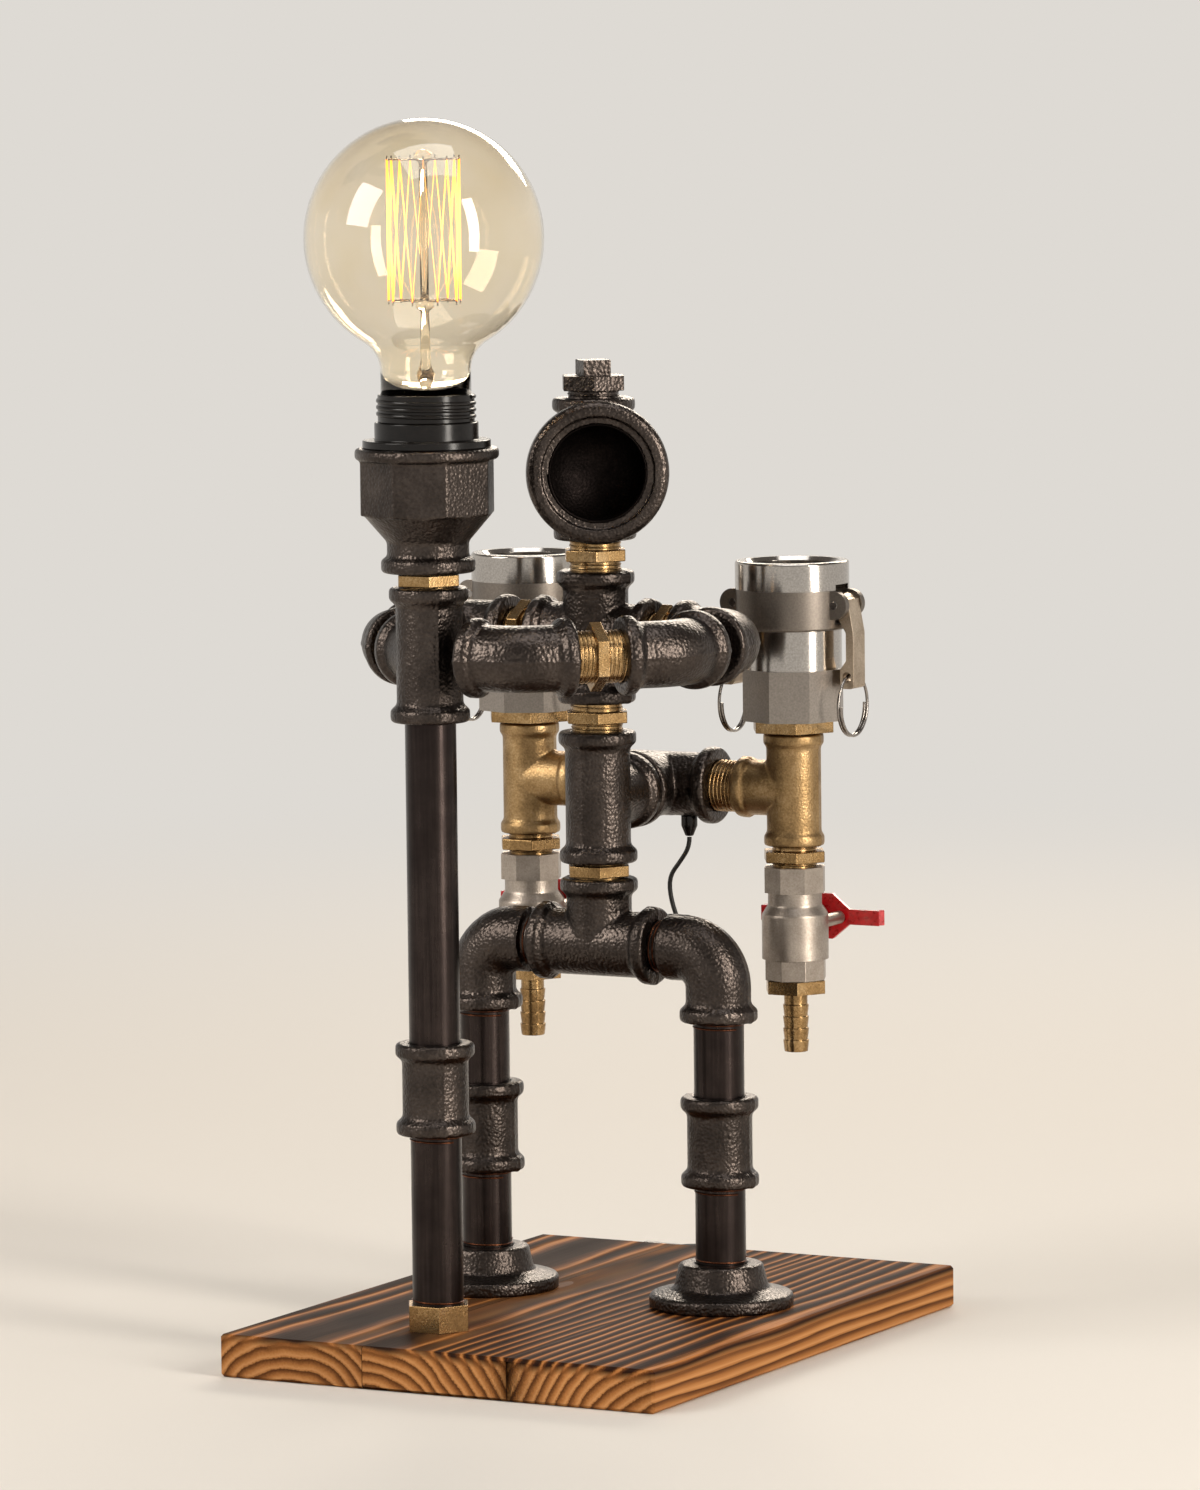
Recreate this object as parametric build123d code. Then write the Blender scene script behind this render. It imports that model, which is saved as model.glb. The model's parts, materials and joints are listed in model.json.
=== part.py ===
from build123d import *
from dataclasses import dataclass
import math
import os

# A standing robot of iron pipe fittings on a wooden board, with a globe lamp on a post and two
# spirit dispensers on its back. Millimetres, +Z up, the robot faces -Y, origin at the middle of
# the board's underside.

X, Y, Z = Vector(1, 0, 0), Vector(0, 1, 0), Vector(0, 0, 1)

# Board: staves glued edge to edge, grain along Y
BOARD_WIDTH = 204.0
BOARD_LENGTH = 280.0
BOARD_THICKNESS = 18.0
BOARD_EASE = 1.2
STAVE_COUNT = 3
HIP_Y = 8.0

# Fits
THREAD_GAP = 0.08
RUNNING_GAP = 0.04
MOVING_GAP = 0.35
SEAT_GAP = 0.1


@dataclass(frozen=True)
class Pipe:
    """Sizes shared by the fittings and pipes of one thread size."""
    thread: float
    bore: float
    depth: float
    engaged: float
    body: float
    bead: float
    bead_width: float
    flare: float
    soft: float


# Half-inch malleable iron, the dispensers' small brass, and the wide mouth of head and reducer
IRON = Pipe(thread=21.3, bore=16.0, depth=13.0, engaged=11.5, body=27.6, bead=33.0, bead_width=5.0,
            flare=2.4, soft=1.8)
BRASS = Pipe(thread=18.6, bore=12.0, depth=11.0, engaged=9.5, body=23.3, bead=25.8, bead_width=4.2,
             flare=1.6, soft=1.0)

# Reaches from a fitting's centre to its mouth
TEE_REACH = 28.0
ELBOW_REACH = 28.0
ELBOW_BEND = 15.0
SLANT_REACH = 22.5
SLANT_BEND = 21.0
COUPLING_LENGTH = 38.4
SLANT = math.sqrt(0.5)

# Legs
FLANGE_DIAMETER = 61.0
FLANGE_RIM = 5.6
FLANGE_HUB = 35.3
FLANGE_HEIGHT = 18.5
FLANGE_SCREW = 4.0
FLANGE_SCREW_HEAD = 8.0
FLANGE_SCREW_HEAD_TALL = 3.0
FLANGE_SCREW_BITE = 4.0
FLANGE_SCREW_RING = 23.5
FLANGE_SCREW_COUNT = 3
LEG_LOWER_SHOWN = 32.5
LEG_UPPER_SHOWN = 31.6
STREET_REACH = 28.4
STREET_DROP = 30.5
STREET_BEND = 16.0
STREET_THREAD_SHOWN = 5.0

# Spine and head
HEX_FLATS = 25.0
HEX_TALL = 4.8
CHEST_GAP = 6.5
SHOULDER_GAP = 12.0
NECK_GAP = 13.0
HEAD_REACH = 30.0
HEAD_BEAD = 35.0
EYE_TURN = 31.0
EYE_REACH = 34.0
EYE_DIAMETER = 60.0
EYE_LIP = 47.5
EYE_LIP_DEPTH = 3.0
EYE_BORE = 41.0
EYE_NECK = 50.0
EYE_WALL = 5.0
EYE_BEAD_WIDTH = 10.0
HEAD_BUSH_SHOWN = 3.0
HEAD_BUSH_FLATS = 25.5
HEAD_BUSH_TALL = 6.3
PLUG_THREAD = 13.2
PLUG_FLATS = 12.0
PLUG_TALL = 6.4

# Arms
ARM_GAP = 12.0
LEFT_CLOSE_GAP = 5.5
LEFT_SLANT_GAP = 10.5
RIGHT_CLOSE_GAP = 10.0
RIGHT_SLANT_GAP = 21.0

# Lamp post
POST_NUT_FLATS = 24.5
POST_NUT_TALL = 11.0
LOCKNUT_FLATS = 30.0
LOCKNUT_TALL = 7.0
LOCKNUT_WELL = 38.0
LOCKNUT_DEPTH = 9.0
POST_LOWER_SHOWN = 71.0
LAMP_GAP = 6.0
REDUCER_BEAD = 39.0
REDUCER_BEAD_TALL = 5.2
REDUCER_NECK = 34.0
REDUCER_NECK_TALL = 7.6
REDUCER_CONE_TALL = 11.1
REDUCER_FLATS = 53.0
REDUCER_SIDES = 8
REDUCER_BODY_TALL = 22.7
REDUCER_MOUTH = 59.6
REDUCER_MOUTH_TALL = 5.0
REDUCER_BORE = 45.0
REDUCER_BORE_DEPTH = 26.0

# Lampholder and bulb
HOLDER_COLLAR = 53.0
HOLDER_COLLAR_TALL = 3.3
HOLDER_SKIRT = 43.0
HOLDER_SKIRT_TALL = 7.3
HOLDER_THREAD = 40.0
HOLDER_THREAD_TALL = 11.4
HOLDER_SPIGOT_TALL = 18.0
HOLDER_RING_WALL = 2.2
CONTACT_DIAMETER = 12.0
CONTACT_TALL = 3.0
CAP_DIAMETER = 26.4
CAP_TALL = 24.0
GLASS_NECK = 37.4
GLASS_DIAMETER = 99.0
GLASS_WALL = 1.0
GLASS_NECK_TALL = 9.567
GLASS_FILLET = 14.0
STEM_DIAMETER = 5.0
STEM_FOOT = 20.0
STEM_FOOT_TALL = 12.0
STEM_BUTTON = 8.0
STEM_BUTTON_TALL = 3.0
FILAMENT_LOW = 27.0
FILAMENT_HIGH = 33.0
FILAMENT_RING = 14.6
FILAMENT_COUNT = 9
FILAMENT_WIRE = 0.9

# Rear manifold and dispensers
REAR_GAP = 1.0
MANIFOLD_GAP = 11.0
BRASS_REACH = 24.0
BRASS_BRANCH = 25.0
BUSH_FLATS = 33.0
BUSH_TALL = 5.0
BUSH_SHOWN = 0.8
BUSH_TOP_THREAD = 32.0
BUSH_TOP_ENGAGED = 14.0
COUPLER_FLATS = 41.5
COUPLER_SIDES = 8
COUPLER_BASE_TALL = 22.0
COUPLER_NECK = 42.0
COUPLER_NECK_TALL = 17.0
COUPLER_BELT = 48.0
COUPLER_BELT_TALL = 17.0
COUPLER_RING = 48.6
COUPLER_RING_TALL = 12.0
COUPLER_BORE = 37.2
COUPLER_LEAD = 1.6
COUPLER_EASE = 1.2
GASKET_HOLE = 27.0
GASKET_RECESS = 39.0
GASKET_TALL = 6.0
GASKET_SEAT_ABOVE_BASE = 3.0
CAM_PIN = 3.6
CAM_PIN_OUT = 24.0
CAM_PIN_BELOW_RIM = 18.2
EAR_RADIUS = 6.0
EAR_THICK = 3.2
ARM_WIDTH = 11.0
ARM_HEAD = 4.8
ARM_OUT = 7.5
ARM_THICK = 3.6
ARM_HOLE_DOWN = 30.5
ARM_LENGTH = 35.5
ARM_END_THICK = 6.4
WINDOW_DOWN = 8.6
WINDOW_UP = 8.6
RING_DIAMETER = 27.6
RING_WIRE = 2.2
VALVE_GAP = 9.0
VALVE_FLATS = 25.0
VALVE_SIDES = 8
VALVE_TOP_TALL = 11.0
VALVE_NECK = 23.0
VALVE_NECK_TALL = 5.5
VALVE_SHOULDER_TALL = 4.0
VALVE_BODY = 28.4
VALVE_BODY_TALL = 19.0
VALVE_SOFT = 2.4
VALVE_INSERT_TALL = 9.0
VALVE_INSERT_THREAD = 23.0
VALVE_BALL = 17.0
VALVE_BALL_DROP = 24.0
VALVE_PORT = 10.0
VALVE_CAVITY = 18.0
SEAT_OUTER = 15.5
SEAT_TALL = 3.0
STEM_SHAFT = 6.0
STEM_TANG = 3.0
STEM_TANG_WIDE = 4.0
BOSS_DIAMETER = 13.0
BOSS_OUT = 19.0
GLAND_FLATS = 10.0
GLAND_TALL = 2.6
LEVER_OUT = 23.4
LEVER_THICK = 2.2
LEVER_SPAN = 29.0
LEVER_TALL = 19.6
LEVER_WING = 6.6
LEVER_WING_FROM = 14.0
LEVER_TIP = 5.0
LEVER_TIP_TURN = 55.0
LEVER_NUT_FLATS = 9.0
LEVER_NUT_TALL = 4.0
LEVER_STUD = 5.0
STOP_PIN = 5.6
STOP_PIN_OFFSET = 10.2
BARB_FLATS = 24.3
BARB_HEX_TALL = 5.6
BARB_LENGTH = 25.3
BARB_DIAMETER = 10.0
BARB_RIDGE = 11.0
BARB_RIDGES = 4
BARB_EDGE = 0.6
BARB_BORE = 6.5

# Wiring
LEAD_DIAMETER = 2.4
LEAD_STRAIGHT = 4.6
CORD_DIAMETER = 2.0
CORD_LEAD_IN = 5.5
CORD_BEND_SHARE = 0.45
GLAND_CLEAR = 0.4
GLAND_SEAT_DEPTH = 0.5
GLAND_BODY = 7.0
GLAND_STUB = 5.0
GLAND_LENGTH = 9.0
GLAND_TIP = 3.4
COIL_PITCH = 2.75
COIL_OUTER = 15.6
COIL_LAYERS = 4
COIL_LAYER_QUARTERS = 15
COIL_CLIMB = 2
COIL_TAIL_QUARTERS = 3
COIL_X = -39.6
COIL_Y = 166.0
COIL_SLOPE_STEP = 0.01
COIL_SAMPLES = 12
TAIL_OUT = 3.4
TIE_WIDTH = 3.0
TIE_THICK = 0.8
TIE_GAP = 0.25
PLUG_BODY = 9.0
PLUG_BODY_LONG = 24.0
PLUG_RELIEF_LONG = 9.0
PLUG_TIP_DIAMETER = 5.5
PLUG_TIP_LONG = 9.5
PLUG_EASE = 1.2

# Levels and places worked out from the sizes above
TOP = BOARD_THICKNESS
HIP = TOP + FLANGE_HEIGHT + LEG_LOWER_SHOWN + COUPLING_LENGTH + LEG_UPPER_SHOWN + STREET_DROP
CHEST = HIP + TEE_REACH + CHEST_GAP + TEE_REACH
SHOULDER = CHEST + TEE_REACH + SHOULDER_GAP + TEE_REACH
HEAD = SHOULDER + TEE_REACH + NECK_GAP + HEAD_REACH
LEG_X = TEE_REACH + STREET_REACH
REAR_Y = HIP_Y + TEE_REACH + REAR_GAP + TEE_REACH
DISPENSER_X = TEE_REACH + MANIFOLD_GAP + BRASS_BRANCH
ARM_X = TEE_REACH + ARM_GAP + ELBOW_REACH
LEFT_FOREARM = Vector(-ARM_X, HIP_Y - ELBOW_REACH - LEFT_CLOSE_GAP - SLANT_REACH, SHOULDER)
RIGHT_FOREARM = Vector(ARM_X, HIP_Y - ELBOW_REACH - RIGHT_CLOSE_GAP - SLANT_REACH, SHOULDER)
LEFT_SLANT = Vector(SLANT, -SLANT, 0)
RIGHT_SLANT = Vector(-SLANT, -SLANT, 0)
POST = LEFT_FOREARM + LEFT_SLANT * (SLANT_REACH + LEFT_SLANT_GAP + TEE_REACH)
HAND = RIGHT_FOREARM + RIGHT_SLANT * (2 * SLANT_REACH + RIGHT_SLANT_GAP)
POST_COUPLING_LOW = TOP + POST_NUT_TALL + POST_LOWER_SHOWN
POST_TEE_LOW = SHOULDER - TEE_REACH
LOCKNUT_LOW = LOCKNUT_DEPTH - LOCKNUT_TALL
LAMP_LOW = SHOULDER + TEE_REACH + LAMP_GAP
HOLDER_LOW = (LAMP_LOW + REDUCER_BEAD_TALL + REDUCER_NECK_TALL + REDUCER_CONE_TALL
              + REDUCER_BODY_TALL + REDUCER_MOUTH_TALL)
HOLDER_TOP = HOLDER_LOW + HOLDER_COLLAR_TALL + HOLDER_SKIRT_TALL + HOLDER_THREAD_TALL
BUSH_LOW = CHEST + BRASS_REACH + BUSH_SHOWN
COUPLER_LOW = BUSH_LOW + BUSH_TALL
COUPLER_NECK_LOW = COUPLER_LOW + COUPLER_BASE_TALL
COUPLER_BELT_LOW = COUPLER_NECK_LOW + COUPLER_NECK_TALL
COUPLER_RING_LOW = COUPLER_BELT_LOW + COUPLER_BELT_TALL
COUPLER_TOP = COUPLER_RING_LOW + COUPLER_RING_TALL
GASKET_LOW = COUPLER_NECK_LOW + GASKET_SEAT_ABOVE_BASE
CAM_Z = COUPLER_TOP - CAM_PIN_BELOW_RIM
VALVE_TOP = CHEST - BRASS_REACH - VALVE_GAP
VALVE_LOW = VALVE_TOP - VALVE_TOP_TALL - VALVE_NECK_TALL - VALVE_SHOULDER_TALL - VALVE_BODY_TALL
INSERT_LOW = VALVE_LOW - VALVE_INSERT_TALL
BALL_Z = VALVE_TOP - VALVE_BALL_DROP
SEAT_REACH = math.sqrt((VALVE_BALL / 2) ** 2 - (VALVE_PORT / 2) ** 2)
SEAT_LOW_TOP = BALL_Z - SEAT_REACH
RING_MIDDLE = (RING_DIAMETER - RING_WIRE) / 2
RING_SAG = RING_MIDDLE - math.sqrt(RING_MIDDLE ** 2 - (ARM_WIDTH / 2) ** 2)
RING_HOLE = RING_WIRE + RING_SAG + 2 * MOVING_GAP
GLAND_LOW = CHEST - IRON.body / 2 + GLAND_SEAT_DEPTH - GLAND_LENGTH
GLAND_X = TEE_REACH - IRON.engaged - GLAND_STUB / 2 - GLAND_CLEAR
LEAD_BEND = GLAND_X - LEAD_STRAIGHT
GLASS_BEND = GLASS_NECK / 2 + GLASS_FILLET
GLASS_DROP = math.sqrt((GLASS_DIAMETER / 2 + GLASS_FILLET) ** 2 - GLASS_BEND ** 2)
GLASS_CENTRE_ABOVE_HOLDER = GLASS_NECK_TALL + GLASS_DROP
COIL_LOW = TIE_THICK + TIE_GAP
COIL_TOP = COIL_LOW + CORD_DIAMETER / 2 + (COIL_LAYERS - 1) * COIL_PITCH
COIL_END = COIL_LAYERS * COIL_LAYER_QUARTERS - 1 + COIL_TAIL_QUARTERS
PLUG_AXIS = PLUG_BODY / 2 + SEAT_GAP
# Corners of the cord from the gland, down behind the right leg and over the board's back edge
CORD_ROUTE = [
    (GLAND_X, REAR_Y, GLAND_LOW), (GLAND_X, REAR_Y, 205.0), (9.0, 65.2, 198.5), (3.2, 65.6, 191.5),
    (3.6, 66.2, 181.5), (7.6, 67.4, 169.5), (13.0, 70.5, 154.0), (18.0, 75.0, 135.0),
    (21.5, 79.5, 113.0), (23.5, 83.5, 90.0), (24.5, 87.0, 67.0), (24.0, 90.5, 46.0),
    (22.0, 94.5, 31.0), (18.0, 99.5, 22.0), (12.0, 106.5, 19.3), (4.0, 115.5, 19.2),
    (-5.0, 125.0, 19.2), (-13.5, 133.5, 19.9), (-19.5, 140.5, 22.0), (-23.2, 147.5, 19.2),
    (-24.0, 153.5, 13.0),
]
SIDES = {"left": -1, "right": 1}
ACROSS = [(X, TEE_REACH), (X * -1, TEE_REACH)]
UPRIGHT = [(Z, TEE_REACH), (Z * -1, TEE_REACH)]


def rod(start, direction, length, diameter):
    """Round bar from start along direction."""
    return extrude(Plane(origin=start, z_dir=direction) * Circle(diameter / 2), length)


def bar(start, direction, length, flats, sides=6, x_dir=X):
    """Bar with flat sides, flats apart, from start along direction."""
    outline = RegularPolygon(flats / 2, sides, major_radius=False)
    return extrude(Plane(origin=start, x_dir=x_dir, z_dir=direction) * outline, length)


def lathe(profile, start, direction, rounds=None):
    """Turned solid from (radius, height) corners, with rounds giving a radius for some corners."""
    face = make_face(Polyline(*profile, close=True))
    for index, radius in (rounds or {}).items():
        corner = face.vertices().sort_by_distance((*profile[index], 0))[0]
        face = fillet(corner, radius)
    return Plane(origin=start, z_dir=direction) * revolve(Plane.XZ * face, Axis.Z)


def fused(solids):
    """One solid from several that overlap."""
    whole = solids[0]
    for solid in solids[1:]:
        whole = whole + solid
    return whole


def mouth(end, inward, size, length):
    """Beaded end of a fitting, from its face inward along its axis."""
    body, bead = size.body / 2, size.bead / 2
    profile = [(0, 0), (bead, 0), (bead, size.bead_width), (body, size.bead_width + size.flare),
               (body, length), (0, length)]
    rounds = {1: size.soft, 2: size.soft, 3: size.flare}
    return lathe(profile, end, inward, rounds)


def socket(end, inward, size):
    """Threaded hollow that a pipe or nipple screws into."""
    return rod(end, inward, size.depth, size.thread + 2 * THREAD_GAP)


def cast_fitting(centre, outlets, size):
    """Straight fitting, tee or cross: outlets are (direction, reach) pairs from its centre."""
    shell = fused([mouth(centre + way * reach, way * -1, size, reach) for way, reach in outlets])
    hollow = fused([rod(centre, way, reach, size.bore) for way, reach in outlets])
    for way, reach in outlets:
        hollow = hollow + socket(centre + way * reach, way * -1, size)
    return shell - hollow


def bent_tube(points, radius, diameter):
    """Round bar along two runs joined by one arc."""
    path = FilletPolyline(*points, radius=radius)
    return sweep(Plane(origin=path @ 0, z_dir=path % 0) * Circle(diameter / 2), path)


def bent_fitting(corner, first, second, reach, bend, size):
    """Elbow with a beaded mouth at both ends."""
    ends = [(corner + way * reach, way * -1) for way in (first, second)]
    points = [ends[0][0], corner, ends[1][0]]
    shell = bent_tube(points, bend, size.body)
    hollow = bent_tube(points, bend, size.bore)
    for end, inward in ends:
        shell = shell + mouth(end, inward, size, size.depth)
        hollow = hollow + socket(end, inward, size)
    return shell - hollow


def tube(start, direction, length, outer, bore):
    """Pipe from start along direction."""
    return rod(start, direction, length, outer) - rod(start, direction, length, bore)


def nipple(face, direction, gap, size, hexagon=True, x_dir=Z):
    """Threaded tube joining two fittings whose faces stand a gap apart, with a hexagon between."""
    start = face - direction * size.engaged
    length = gap + 2 * size.engaged
    solid = rod(start, direction, length, size.thread)
    if hexagon:
        solid = solid + bar(face + direction * (gap - HEX_TALL) / 2, direction, HEX_TALL, HEX_FLATS,
                            x_dir=x_dir)
    return solid - rod(start, direction, length, size.bore)


def make_board(holes):
    """Board of glued staves with its holes cut."""
    width = BOARD_WIDTH / STAVE_COUNT
    staves = []
    for index in range(STAVE_COUNT):
        x = -BOARD_WIDTH / 2 + (index + 0.5) * width
        stave = Pos(x, 0, BOARD_THICKNESS / 2) * Box(width, BOARD_LENGTH, BOARD_THICKNESS)
        outer = [edge for edge in stave.edges()
                 if abs(abs(edge.center().X) - BOARD_WIDTH / 2) < BOARD_EASE
                 or abs(abs(edge.center().Y) - BOARD_LENGTH / 2) < BOARD_EASE
                 and abs(edge.center().Z - BOARD_THICKNESS / 2) > BOARD_EASE]
        staves.append(chamfer(outer, BOARD_EASE) - holes)
    return staves


def make_flange(x):
    """Floor flange with its hub and blind holes for the screws from below."""
    hub, rim = FLANGE_HUB / 2, FLANGE_DIAMETER / 2
    profile = [(0, 0), (rim, 0), (rim, FLANGE_RIM), (hub + IRON.flare, FLANGE_RIM + IRON.flare),
               (hub, FLANGE_HEIGHT), (0, FLANGE_HEIGHT)]
    base = Vector(x, HIP_Y, TOP)
    flange = lathe(profile, base, Z, {2: IRON.soft, 3: IRON.flare, 4: IRON.soft})
    flange = flange - socket(base + Z * FLANGE_HEIGHT, Z * -1, IRON)
    for spot in screw_spots(x):
        flange = flange - rod(spot + Z * TOP, Z, FLANGE_SCREW_BITE, FLANGE_SCREW)
    return flange


def screw_spots(x):
    """Places of one flange's screws on the board's underside."""
    spots = []
    for index in range(FLANGE_SCREW_COUNT):
        turn = math.radians(90 + index * 360 / FLANGE_SCREW_COUNT)
        spots.append(Vector(x + FLANGE_SCREW_RING * math.cos(turn),
                            HIP_Y + FLANGE_SCREW_RING * math.sin(turn), 0))
    return spots


def make_screw(spot):
    """Screw from under the board into a flange, its head sunk in the board."""
    shank = FLANGE_SCREW - 2 * THREAD_GAP
    low = spot + Z * FLANGE_SCREW_HEAD_TALL
    length = TOP + FLANGE_SCREW_BITE - FLANGE_SCREW_HEAD_TALL - SEAT_GAP
    head = rod(spot + Z * SEAT_GAP, Z, FLANGE_SCREW_HEAD_TALL - SEAT_GAP, FLANGE_SCREW_HEAD)
    return head + rod(low, Z, length, shank)


def make_locknut():
    """Nut in a well under the board that pulls the lamp post down."""
    low = Vector(POST.X, POST.Y, LOCKNUT_LOW)
    return bar(low, Z, LOCKNUT_TALL, LOCKNUT_FLATS) - rod(low, Z, LOCKNUT_TALL,
                                                          IRON.thread + 2 * THREAD_GAP)


def make_street_elbow(side):
    """Hip elbow: a beaded mouth downward and a male thread into the hip tee."""
    inward = X * -side
    corner = Vector(side * LEG_X, HIP_Y, HIP)
    foot = corner - Z * STREET_DROP
    shoulder = corner + inward * (STREET_REACH - STREET_THREAD_SHOWN)
    tip = corner + inward * (STREET_REACH + IRON.engaged)
    shell = bent_tube([foot, corner, shoulder], STREET_BEND, IRON.body)
    shell = shell + mouth(foot, Z, IRON, IRON.depth)
    shell = shell + rod(shoulder, inward, STREET_THREAD_SHOWN + IRON.engaged, IRON.thread)
    hollow = bent_tube([foot, corner, tip], STREET_BEND, IRON.bore) + socket(foot, Z, IRON)
    return shell - hollow


def make_head():
    """Head tee: a half-inch run with a wide eye in front, turned to one side."""
    turn = math.radians(EYE_TURN)
    look = Vector(math.sin(turn), -math.cos(turn), 0)
    centre = Vector(0, HIP_Y, HEAD)
    size = Pipe(**{**IRON.__dict__, "bead": HEAD_BEAD})
    eye = EYE_DIAMETER / 2
    neck = EYE_NECK / 2
    profile = [(0, 0), (eye, 0), (eye, EYE_BEAD_WIDTH), (neck, EYE_BEAD_WIDTH + IRON.flare),
               (neck, EYE_REACH - EYE_WALL), (IRON.body / 2, EYE_REACH + EYE_WALL),
               (0, EYE_REACH + EYE_WALL)]
    face = centre + look * EYE_REACH
    rounds = {1: 2 * IRON.soft, 2: 2 * IRON.soft, 4: EYE_WALL}
    shell = lathe(profile, face, look * -1, rounds)
    ends = [centre + Z * HEAD_REACH, centre - Z * HEAD_REACH]
    shell = shell + mouth(ends[0], Z * -1, size, HEAD_REACH) + mouth(ends[1], Z, size, HEAD_REACH)
    hollow = rod(face, look * -1, EYE_REACH - EYE_WALL, EYE_BORE)
    hollow = hollow + rod(face, look * -1, EYE_LIP_DEPTH, EYE_LIP)
    hollow = hollow + rod(ends[1], Z, 2 * HEAD_REACH, IRON.bore)
    hollow = hollow + socket(ends[0], Z * -1, IRON) + socket(ends[1], Z, IRON)
    return shell - hollow


def make_head_top():
    """Reducing bush in the head's crown and the square-headed plug in it."""
    crown = Vector(0, HIP_Y, HEAD + HEAD_REACH)
    low = crown - Z * IRON.engaged
    shoulder = crown + Z * HEAD_BUSH_SHOWN
    top = shoulder + Z * HEAD_BUSH_TALL
    bush = rod(low, Z, IRON.engaged + HEAD_BUSH_SHOWN, IRON.thread)
    bush = bush + bar(shoulder, Z, HEAD_BUSH_TALL, HEAD_BUSH_FLATS)
    bush = bush - rod(low, Z, IRON.engaged + HEAD_BUSH_SHOWN + HEAD_BUSH_TALL,
                      PLUG_THREAD + 2 * THREAD_GAP)
    plug = rod(top - Z * IRON.engaged, Z, IRON.engaged + SEAT_GAP, PLUG_THREAD)
    plug = plug + bar(top + Z * SEAT_GAP, Z, PLUG_TALL, PLUG_FLATS, sides=4)
    return bush, plug


def make_reducer():
    """Reducing socket under the lamp: round neck, cone and eight-sided mouth."""
    base = Vector(POST.X, POST.Y, LAMP_LOW)
    neck_low = REDUCER_BEAD_TALL
    cone_low = neck_low + REDUCER_NECK_TALL
    body_low = cone_low + REDUCER_CONE_TALL
    mouth_low = body_low + REDUCER_BODY_TALL
    top = mouth_low + REDUCER_MOUTH_TALL
    bead, neck, wide = REDUCER_BEAD / 2, REDUCER_NECK / 2, REDUCER_FLATS / 2
    profile = [(0, 0), (bead, 0), (bead, neck_low), (neck, neck_low + IRON.soft), (neck, cone_low),
               (wide, body_low), (0, body_low)]
    shell = lathe(profile, base, Z, {1: IRON.soft, 2: IRON.soft, 4: IRON.flare})
    body = bar(base + Z * body_low, Z, REDUCER_BODY_TALL, REDUCER_FLATS, REDUCER_SIDES)
    rim = lathe([(0, mouth_low), (REDUCER_MOUTH / 2, mouth_low), (REDUCER_MOUTH / 2, top), (0, top)],
                base, Z, {1: IRON.soft, 2: IRON.soft})
    hollow = rod(base, Z, top, IRON.bore) + socket(base, Z, IRON)
    hollow = hollow + rod(base + Z * top, Z * -1, REDUCER_BORE_DEPTH, REDUCER_BORE)
    return shell + body + rim - hollow


def make_lampholder():
    """Lampholder body, its clamping ring and the contact at its floor."""
    base = Vector(POST.X, POST.Y, HOLDER_LOW)
    skirt = base + Z * HOLDER_COLLAR_TALL
    thread = skirt + Z * HOLDER_SKIRT_TALL
    spigot = REDUCER_BORE - 2 * THREAD_GAP
    body = rod(base, Z * -1, HOLDER_SPIGOT_TALL, spigot) + rod(base, Z, HOLDER_COLLAR_TALL, HOLDER_COLLAR)
    body = body + rod(skirt, Z, HOLDER_SKIRT_TALL, HOLDER_SKIRT)
    body = body + rod(thread, Z, HOLDER_THREAD_TALL, HOLDER_THREAD - 2 * HOLDER_RING_WALL)
    well = CAP_DIAMETER + 2 * MOVING_GAP
    floor = Vector(POST.X, POST.Y, HOLDER_TOP - CAP_TALL - CONTACT_TALL - 2 * SEAT_GAP)
    body = body - rod(floor, Z, HOLDER_TOP - floor.Z, well)
    body = body - rod(base - Z * HOLDER_SPIGOT_TALL, Z, HOLDER_TOP, LEAD_DIAMETER + 2 * SEAT_GAP)
    ring = tube(thread + Z * SEAT_GAP, Z, HOLDER_THREAD_TALL - SEAT_GAP, HOLDER_THREAD,
                HOLDER_THREAD - 2 * HOLDER_RING_WALL + 2 * THREAD_GAP)
    contact = rod(floor + Z * SEAT_GAP, Z, CONTACT_TALL - SEAT_GAP, CONTACT_DIAMETER)
    return body, ring, contact


def spider(level):
    """Ring with four spokes that carries one end of the filament strands, its underside at level."""
    ring = Circle(FILAMENT_RING + FILAMENT_WIRE) - Circle(FILAMENT_RING - FILAMENT_WIRE)
    cross = Rectangle(2 * FILAMENT_RING, FILAMENT_WIRE) + Rectangle(FILAMENT_WIRE, 2 * FILAMENT_RING)
    flat = ring + cross - Circle(STEM_BUTTON / 2 + SEAT_GAP)
    return extrude(Plane(origin=Z * level) * flat, FILAMENT_WIRE)


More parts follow.
